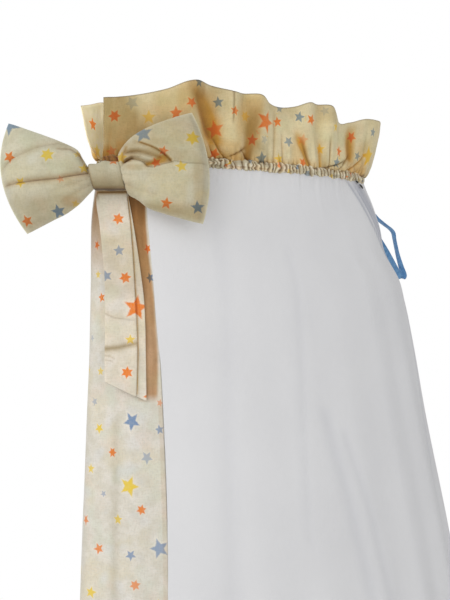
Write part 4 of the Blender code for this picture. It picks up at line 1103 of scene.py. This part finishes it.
# === materials
class Tree:
    """A node tree with short calls to add nodes and join them."""

    def __init__(self, tree):
        self.tree = tree

    def node(self, kind, **settings):
        made = self.tree.nodes.new(kind)
        for name, value in settings.items():
            setattr(made, name, value)
        return made

    def set(self, socket, value):
        """Joins a socket to another, or sets its number or colour."""
        if isinstance(value, bpy.types.NodeSocket):
            self.tree.links.new(value, socket)
        else:
            socket.default_value = value

    def fill(self, made, values):
        """Sets a node's sockets by name or number, and gives the node back."""
        for socket, value in values.items():
            self.set(made.inputs[socket], value)
        return made

    def math(self, operation, *values):
        made = self.node("ShaderNodeMath", operation=operation)
        return self.fill(made, dict(enumerate(values))).outputs[0]

    def times(self, *values):
        return self.math("MULTIPLY", *values)

    def plus(self, *values):
        return self.math("ADD", *values)

    def minus(self, *values):
        return self.math("SUBTRACT", *values)

    def add(self, one, two):
        made = self.node("ShaderNodeVectorMath", operation="ADD")
        return self.fill(made, {0: one, 1: two}).outputs[0]

    def scaled(self, vector, scale):
        made = self.node("ShaderNodeVectorMath", operation="SCALE")
        return self.fill(made, {0: vector, "Scale": scale}).outputs[0]

    def rise(self, value, low, high):
        """0 below low, 1 above high."""
        made = self.node("ShaderNodeMapRange", interpolation_type="SMOOTHSTEP", clamp=True)
        return self.fill(made, {"Value": value, "From Min": low, "From Max": high}).outputs["Result"]

    def mix(self, share, one, two, how="MIX"):
        made = self.node("ShaderNodeMix", data_type="RGBA", blend_type=how)
        return self.fill(made, {0: share, 6: one, 7: two}).outputs[2]

    def shaded(self, share, colour, shade):
        """The colour, multiplied by a shade as far as the share says."""
        return self.mix(share, colour, self.mix(1.0, colour, shade, "MULTIPLY"))

    def tint(self, colour, value, low, high, share, other):
        """The colour, mixed with another by a share where the value rises from low to high."""
        return self.mix(self.times(self.rise(value, low, high), share), colour, other)

    def noise(self, vector, scale, detail=2.0, roughness=0.5, output="Fac"):
        values = {"Vector": vector, "Scale": scale, "Detail": detail, "Roughness": roughness}
        return self.fill(self.node("ShaderNodeTexNoise"), values).outputs[output]

    def jitter(self, vector, scale, size):
        """A small random step for each place."""
        step = self.add(self.noise(vector, scale, 1.0, output="Color"), (-0.5, -0.5, -0.5))
        return self.scaled(step, size)

    def stretched(self, vector, scale):
        made = self.node("ShaderNodeMapping", vector_type="POINT")
        return self.fill(made, {"Vector": vector, "Scale": scale}).outputs[0]

    def split(self, vector):
        return list(self.fill(self.node("ShaderNodeSeparateXYZ"), {0: vector}).outputs)

    def mark(self, name, output="Fac"):
        return self.node("ShaderNodeAttribute", attribute_name=name).outputs[output]

    def cloth(self):
        """The place on the flat cloth."""
        return self.node("ShaderNodeUVMap", uv_map="cloth").outputs[0]

    def bump(self, height, distance, strength, **normal):
        values = {"Height": height, "Distance": distance, "Strength": strength, **normal}
        return self.fill(self.node("ShaderNodeBump"), values).outputs[0]

    def group(self, group, **values):
        return self.fill(self.node("ShaderNodeGroup", node_tree=group), values).outputs


def new_group(name, inputs, outputs):
    """A node group with its named sockets: V vector, F number, C colour."""
    tree = bpy.data.node_groups.new(name, "ShaderNodeTree")
    kinds = {"V": "NodeSocketVector", "F": "NodeSocketFloat", "C": "NodeSocketColor"}
    for way, sockets in (("INPUT", inputs), ("OUTPUT", outputs)):
        for socket, kind in sockets.items():
            tree.interface.new_socket(name=socket, in_out=way, socket_type=kinds[kind])
    made = Tree(tree)
    return made, list(made.node("NodeGroupInput").outputs), made.node("NodeGroupOutput")


def star_group():
    """A star from its marks: phi = angle folded to one half point, and the place's side of the edge.

    over = (place - tip) . edge normal, below 0 inside; edge from the tip to the waist at half a point
    """
    tree, given, made = new_group("star", {"Place": "V", "Kind": "V"}, {"Mask": "F", "Rim": "F", "Color": "C"})
    x, y, outside = tree.split(given[0])
    points, colour, strength = tree.split(given[1])
    points = tree.math("ROUND", points)
    reach = tree.math("SQRT", tree.plus(tree.times(x, x), tree.times(y, y)))
    step = tree.math("DIVIDE", math.tau, points)
    half = tree.times(step, 0.5)
    turned = tree.math("FLOORED_MODULO", tree.math("ARCTAN2", y, x), step)
    phi = tree.minus(half, tree.math("ABSOLUTE", tree.minus(turned, half)))
    waist = tree.times(points, 0.09)
    edge_x = tree.times(waist, tree.math("SINE", half))
    edge_y = tree.minus(1.0, tree.times(waist, tree.math("COSINE", half)))
    over = tree.minus(tree.plus(tree.times(tree.times(reach, tree.math("COSINE", phi)), edge_x),
                                tree.times(tree.times(reach, tree.math("SINE", phi)), edge_y)), edge_x)
    near = tree.math("LESS_THAN", outside, 0.5)
    mask, rim = (tree.times(tree.rise(over, *edge), near) for edge in ((0.05, -0.05), (0.22, 0.04)))
    ink = tree.mix(tree.math("GREATER_THAN", colour, 0.5), STAR_ORANGE, STAR_YELLOW)
    ink = tree.mix(tree.math("GREATER_THAN", colour, 1.5), ink, STAR_BLUE)
    tree.fill(made, {"Mask": tree.times(mask, strength), "Rim": tree.times(tree.minus(rim, mask), strength),
                     "Color": ink})
    return tree.tree


def print_group(star):
    """Printed cotton: stars with a pale rim on uneven cream, its threads a little slubby."""
    tree, given, made = new_group("star print", {"Vector": "V", "Place": "V", "Kind": "V"},
                                  {"Color": "C", "Height": "F"})
    vector, place, kind = given[:3]
    shown = tree.group(star, Place=tree.add(place, tree.jitter(vector, 700.0, 0.16)), Kind=kind)
    threads = [tree.noise(tree.stretched(vector, way), 520.0, 3.0, 0.65) for way in ((1, 0.30, 1), (0.30, 1, 1))]
    slub = tree.times(tree.plus(*threads), 0.5)
    cream = tree.mix(tree.rise(tree.noise(vector, 60.0, 3.0), 0.38, 0.64),
                     (0.575, 0.520, 0.375, 1), (0.650, 0.590, 0.450, 1))
    hue = tree.split(tree.noise(vector, 34.0, 1.0, output="Color"))
    for value, low, high, share, other in (
            (tree.noise(vector, 16.0), 0.44, 0.70, 0.45, (0.65, 0.55, 0.31, 1)),
            (hue[0], 0.52, 0.72, 0.40, (0.66, 0.53, 0.38, 1)), (hue[1], 0.52, 0.72, 0.40, (0.56, 0.57, 0.40, 1)),
            (hue[2], 0.54, 0.74, 0.35, (0.62, 0.61, 0.55, 1)),
            (tree.noise(vector, 480.0, 2.0, 0.6), 0.42, 0.66, 0.30, (0.52, 0.52, 0.40, 1)),
            (slub, 0.54, 0.40, 0.26, (0.42, 0.36, 0.24, 1))):
        cream = tree.tint(cream, value, low, high, share, other)
    cloth = tree.mix(tree.times(shown["Rim"], 0.22), cream, (0.80, 0.70, 0.50, 1))
    shadow_warmth_and_ink_wear = tree.math("MULTIPLY_ADD", tree.rise(slub, 0.38, 0.56), 0.14, 0.86)
    cloth = tree.mix(tree.times(shown["Mask"], shadow_warmth_and_ink_wear), cloth, shown["Color"])
    tree.fill(made, {"Color": cloth, "Height": slub})
    return tree.tree


def weave_group():
    """A plain weave's relief: crossing threads, one over and one under, with uneven slubs."""
    tree, given, made = new_group("weave", {"Vector": "V", "Pitch": "F"}, {"Height": "F", "Holes": "F"})
    place = tree.add(given[0], tree.jitter(given[0], 160.0, 0.0012))
    waves = [tree.math("SINE", way)
             for way in tree.split(tree.scaled(place, tree.math("DIVIDE", math.pi, given[1])))[:2]]
    warp, weft = (tree.math("ABSOLUTE", wave) for wave in waves)
    height = tree.plus(tree.times(tree.math("MAXIMUM", warp, weft), 0.6), tree.times(tree.times(*waves), 0.3))
    holes = tree.times(tree.rise(warp, 0.55, 0.15), tree.rise(weft, 0.55, 0.15))
    tree.fill(made, {"Height": height, "Holes": holes})
    return tree.tree


def new_material(name, roughness):
    """A material, its tree with only the Principled shader in it, and that shader."""
    material = bpy.data.materials.new(name)
    material.use_nodes = True
    shader = material.node_tree.nodes["Principled BSDF"]
    shader.inputs["Roughness"].default_value = roughness
    return material, Tree(material.node_tree), shader


def cotton(name, printed, weave, shift, painted_light_and_shade, dim=DIM_PAINTED_SHADE, warm=WARM_PAINTED_SHADE):
    """Star-print cotton: the print on this piece, its weave, and its painted light and shade.

    The dim, warm and line marks paint shade in hollows, creases and gaps, the pale mark paints light, and
    the colour multiplier for this piece is painted light and shade too. Its hem is stitched where the
    edge mark is HEM_STITCH; a piece without that mark has no stitches
    """
    material, tree, shader = new_material(name, 0.88)
    cloth = tree.cloth()
    place = tree.add(cloth, (*shift, 0.0))
    shown = tree.group(printed, Vector=place, Place=tree.mark("star_place", "Vector"),
                       Kind=tree.mark("star_kind", "Vector"))
    # This piece's colour multiplier is painted light and shade; then the pale mark paints light and the dim, warm
    # and line marks paint shade.
    colour = tree.mix(1.0, shown["Color"], (*painted_light_and_shade, 1), "MULTIPLY")
    for mark, shade in (("pale", PAINTED_LIGHT), ("dim", dim), ("warm", warm), ("line", PAINTED_SHADE_LINE_AND_STITCH)):
        colour = tree.shaded(tree.mark(mark), colour, shade)
    dash = tree.math("SINE", tree.times(tree.split(cloth)[1], math.tau / STITCH_PITCH))
    off = tree.math("ABSOLUTE", tree.minus(tree.mark("edge"), HEM_STITCH))
    stitch = tree.times(tree.minus(1.0, tree.rise(off, 0.0002, 0.0006)), tree.rise(dash, -0.5, 0.0))
    threads = tree.group(weave, Vector=place, Pitch=0.00055)
    fine = tree.bump(threads["Height"], 0.00012, 0.55)
    soft = tree.bump(shown["Height"], 0.0005, 0.5, Normal=fine)
    tree.fill(shader, {"Base Color": tree.shaded(tree.times(stitch, 0.35), colour, PAINTED_SHADE_LINE_AND_STITCH),
                       "Normal": tree.bump(stitch, 0.0003, 0.8, Normal=soft),
                       "Sheen Weight": 0.12, "Sheen Roughness": 0.6})
    return material


def sheer(name, weave):
    """The net: fine crossing threads with gaps between them, denser in its hem."""
    material, tree, shader = new_material(name, 0.92)
    cloth = tree.cloth()
    threads = tree.group(weave, Vector=cloth, Pitch=0.0009)
    hem = tree.rise(tree.times(tree.split(cloth)[1], -1.0), *NET_HEM)
    lines = tree.noise(tree.stretched(cloth, (1.0, 0.18, 1.0)), 420.0, 3.0, 0.6)
    colour = tree.mix(tree.rise(tree.noise(cloth, 7.0), 0.3, 0.7), (0.775, 0.775, 0.790, 1),
                      (0.805, 0.805, 0.818, 1))
    colour = tree.tint(colour, lines, 0.40, 0.66, 0.10, (0.90, 0.90, 0.91, 1))
    colour = tree.tint(colour, tree.noise(cloth, 700.0, 2.0, 0.6), 0.42, 0.62, 0.16, (0.66, 0.67, 0.69, 1))
    # The dim mark is painted shade: it darkens the net towards grey-blue and lets a little more through.
    cover = tree.minus(tree.minus(0.96, tree.times(threads["Holes"], 0.42)), tree.times(tree.mark("dim"), 0.16))
    fine = tree.bump(threads["Height"], 0.0002, 0.5)
    tree.fill(shader, {"Base Color": tree.shaded(tree.mark("dim"), colour, (0.47, 0.50, 0.60, 1)),
                       "Alpha": tree.math("MAXIMUM", cover, tree.times(hem, 0.97)),
                       "Normal": tree.bump(lines, 0.0004, 0.15, Normal=fine)})
    return material


def satin(name):
    """Blue ribbon: fine ribs across it and a soft gloss along it."""
    material, tree, shader = new_material(name, 0.42)
    cloth = tree.cloth()
    along, across = tree.split(cloth)[:2]
    rib = tree.math("SINE", tree.times(along, math.tau / 0.0007))
    selvedge = tree.rise(tree.math("ABSOLUTE", across), 0.0036, 0.0042)
    colour = tree.mix(tree.rise(tree.noise(cloth, 130.0, 3.0), 0.3, 0.7), (0.105, 0.285, 0.56, 1),
                      (0.20, 0.44, 0.74, 1))
    relief = tree.plus(rib, tree.times(selvedge, 1.5))
    tree.fill(shader, {"Base Color": tree.mix(tree.times(selvedge, 0.5), colour, (0.07, 0.19, 0.44, 1)),
                       "Normal": tree.bump(relief, 0.00012, 0.5), "Sheen Weight": 0.25})
    return material


def plain(name, colour, roughness):
    """A finish with a faint mottle, for the floor and the thread."""
    material, tree, shader = new_material(name, roughness)
    shade = tree.noise(tree.node("ShaderNodeTexCoord").outputs["Object"], 14.0, 3.0)
    darker = tuple(0.96 * part for part in colour[:3]) + (1.0,)
    tree.fill(shader, {"Base Color": tree.mix(shade, darker, colour)})
    return material


# === stage
def add_light(name, place, aim, size, power, colour):
    """A soft area light at a place, turned to a point."""
    data = bpy.data.lights.new(name, "AREA")
    data.shape, data.size, data.energy, data.color = "DISK", size, power, colour
    made = bpy.data.objects.new(name, data)
    made.location = place
    way = np.array(aim, float) - np.array(place, float)
    flat = math.hypot(way[0], way[1])
    made.rotation_euler = (math.atan2(flat, -way[2]), 0, math.atan2(way[1], way[0]) - math.pi / 2)
    bpy.context.scene.collection.objects.link(made)
    return made


def make_stage():
    """Pale floor, pale world, soft lights and the camera."""
    turn = steps_round(128)
    rings = np.array([0.02, 0.8, 1.6, 2.4])
    grid = np.stack([np.outer(rings, np.cos(turn)), -0.1 + np.outer(rings, np.sin(turn)),
                     np.full((len(rings), len(turn)), FLOOR)], axis=-1)
    quads = quads_of(closed(numbers(grid))).reshape(-1, 4)[:, ::-1]
    floor = add_mesh("floor", grid.reshape(-1, 3), quads, np.zeros((len(quads), 4, 2)), {},
                     plain("pale floor", (0.80, 0.80, 0.80, 1.0), 0.9))

    world = bpy.data.worlds.new("pale world")
    world.use_nodes = True
    tree = Tree(world.node_tree)
    back = world.node_tree.nodes["Background"]
    back.inputs["Color"].default_value = (1.0, 1.0, 1.0, 1.0)
    seen = tree.node("ShaderNodeLightPath").outputs["Is Camera Ray"]
    tree.set(back.inputs["Strength"], tree.math("MULTIPLY_ADD", seen, 0.39, 0.61))
    bpy.context.scene.world = world

    add_light("key", (0.6, -3.0, 1.1), (0.0, -0.25, -0.3), 3.4, 34.5, (1.0, 0.985, 0.96))
    add_light("fill", (2.0, -2.2, -1.3), (0.0, -0.25, -0.2), 2.6, 18.0, (1.0, 0.99, 0.97))
    add_light("side", (2.8, -0.2, 0.6), (0.0, -0.15, -0.5), 1.8, 7.5, (0.97, 0.985, 1.0))

    data = bpy.data.cameras.new("camera")
    data.sensor_width, data.lens = 36.0, 57.72
    data.clip_start, data.clip_end = 0.05, 60.0
    camera = bpy.data.objects.new("camera", data)
    camera.location = (1.0710, -0.8369, -0.1650)
    camera.rotation_euler = (math.radians(90), 0, math.radians(60))
    bpy.context.scene.collection.objects.link(camera)
    bpy.context.scene.camera = camera
    bpy.context.scene.view_settings.view_transform = "Standard"


# === all together
def build():
    """Loads the frame, makes every piece over it and sets up the stage."""
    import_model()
    weave = weave_group()
    printed = print_group(star_group())
    net = sheer("sheer net", weave)
    blue = satin("blue ribbon")
    # For each piece: the shift of its print, then a colour multiplier that is painted light and shade, making lit
    # and shaded copies of the one cotton.
    print_shifts_and_painted_light = {"near": (0.013, 0.021, 1.17, 1.21, 1.42), "far": (0.41, 0.20, 1.0, 1.0, 1.0),
             "frill": (0.733, 0.515, 1.22, 1.15, 0.94), "channel": (0.92, 0.33, 1.0, 0.98, 0.95),
             "left": (1.207, 0.610, 0.96, 0.985, 0.97), "right": (1.515, 0.842, 0.93, 0.93, 0.88),
             "knot": (2.03, 0.117, 0.83, 0.84, 0.79), "tails": (2.311, 0.402, 1.24, 1.23, 1.36)}
    # Olive and gold colours for the painted shade on the frill, the right wing and the tails.
    own = {name: (OLIVE_PAINTED_SHADE, GOLD_PAINTED_SHADE) for name in ("frill", "right", "tails")}
    cottons = {name: cotton("cotton " + name, printed, weave, row[:2], row[2:], *own.get(name, ()))
               for name, row in print_shifts_and_painted_light.items()}

    print_slot = (
        (make_panel("panel_near", True, 71, cottons["near"]), "trim_near"),
        (make_panel("panel_far", False, 81, cottons["far"]), "trim_far"),
        (make_frill(cottons["frill"]), "heading_frill"),
        (make_channel(cottons["channel"]), "shirred_channel"),
        (make_wing("wing_left", "left", LEFT_RIBS, cottons["left"]), "bow_loops"),
        (make_wing("wing_right", "right", RIGHT_RIBS, cottons["right"]), "bow_loops"),
        (make_knot(cottons["knot"]), "bow_knot"),
        (make_tail("tail_upper", "tail_front", FRONT_TAIL, cottons["tails"]), "tail_front"),
        (make_tail("tail_lower", "tail_back", BACK_TAIL, cottons["tails"]), "tail_back"),
    )
    for made, node in print_slot:
        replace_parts(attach(made, "root"), node)
    sheet = make_net(net)
    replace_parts(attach(sheet, "root"), "net_panel")
    ribbon = make_ribbon(blue)
    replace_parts(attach(ribbon, "root"), "ribbon_loop")
    tack = make_tack(plain("dark thread", THREAD_DARK, 0.8))
    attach(tack, "root")

    make_stage()


build()
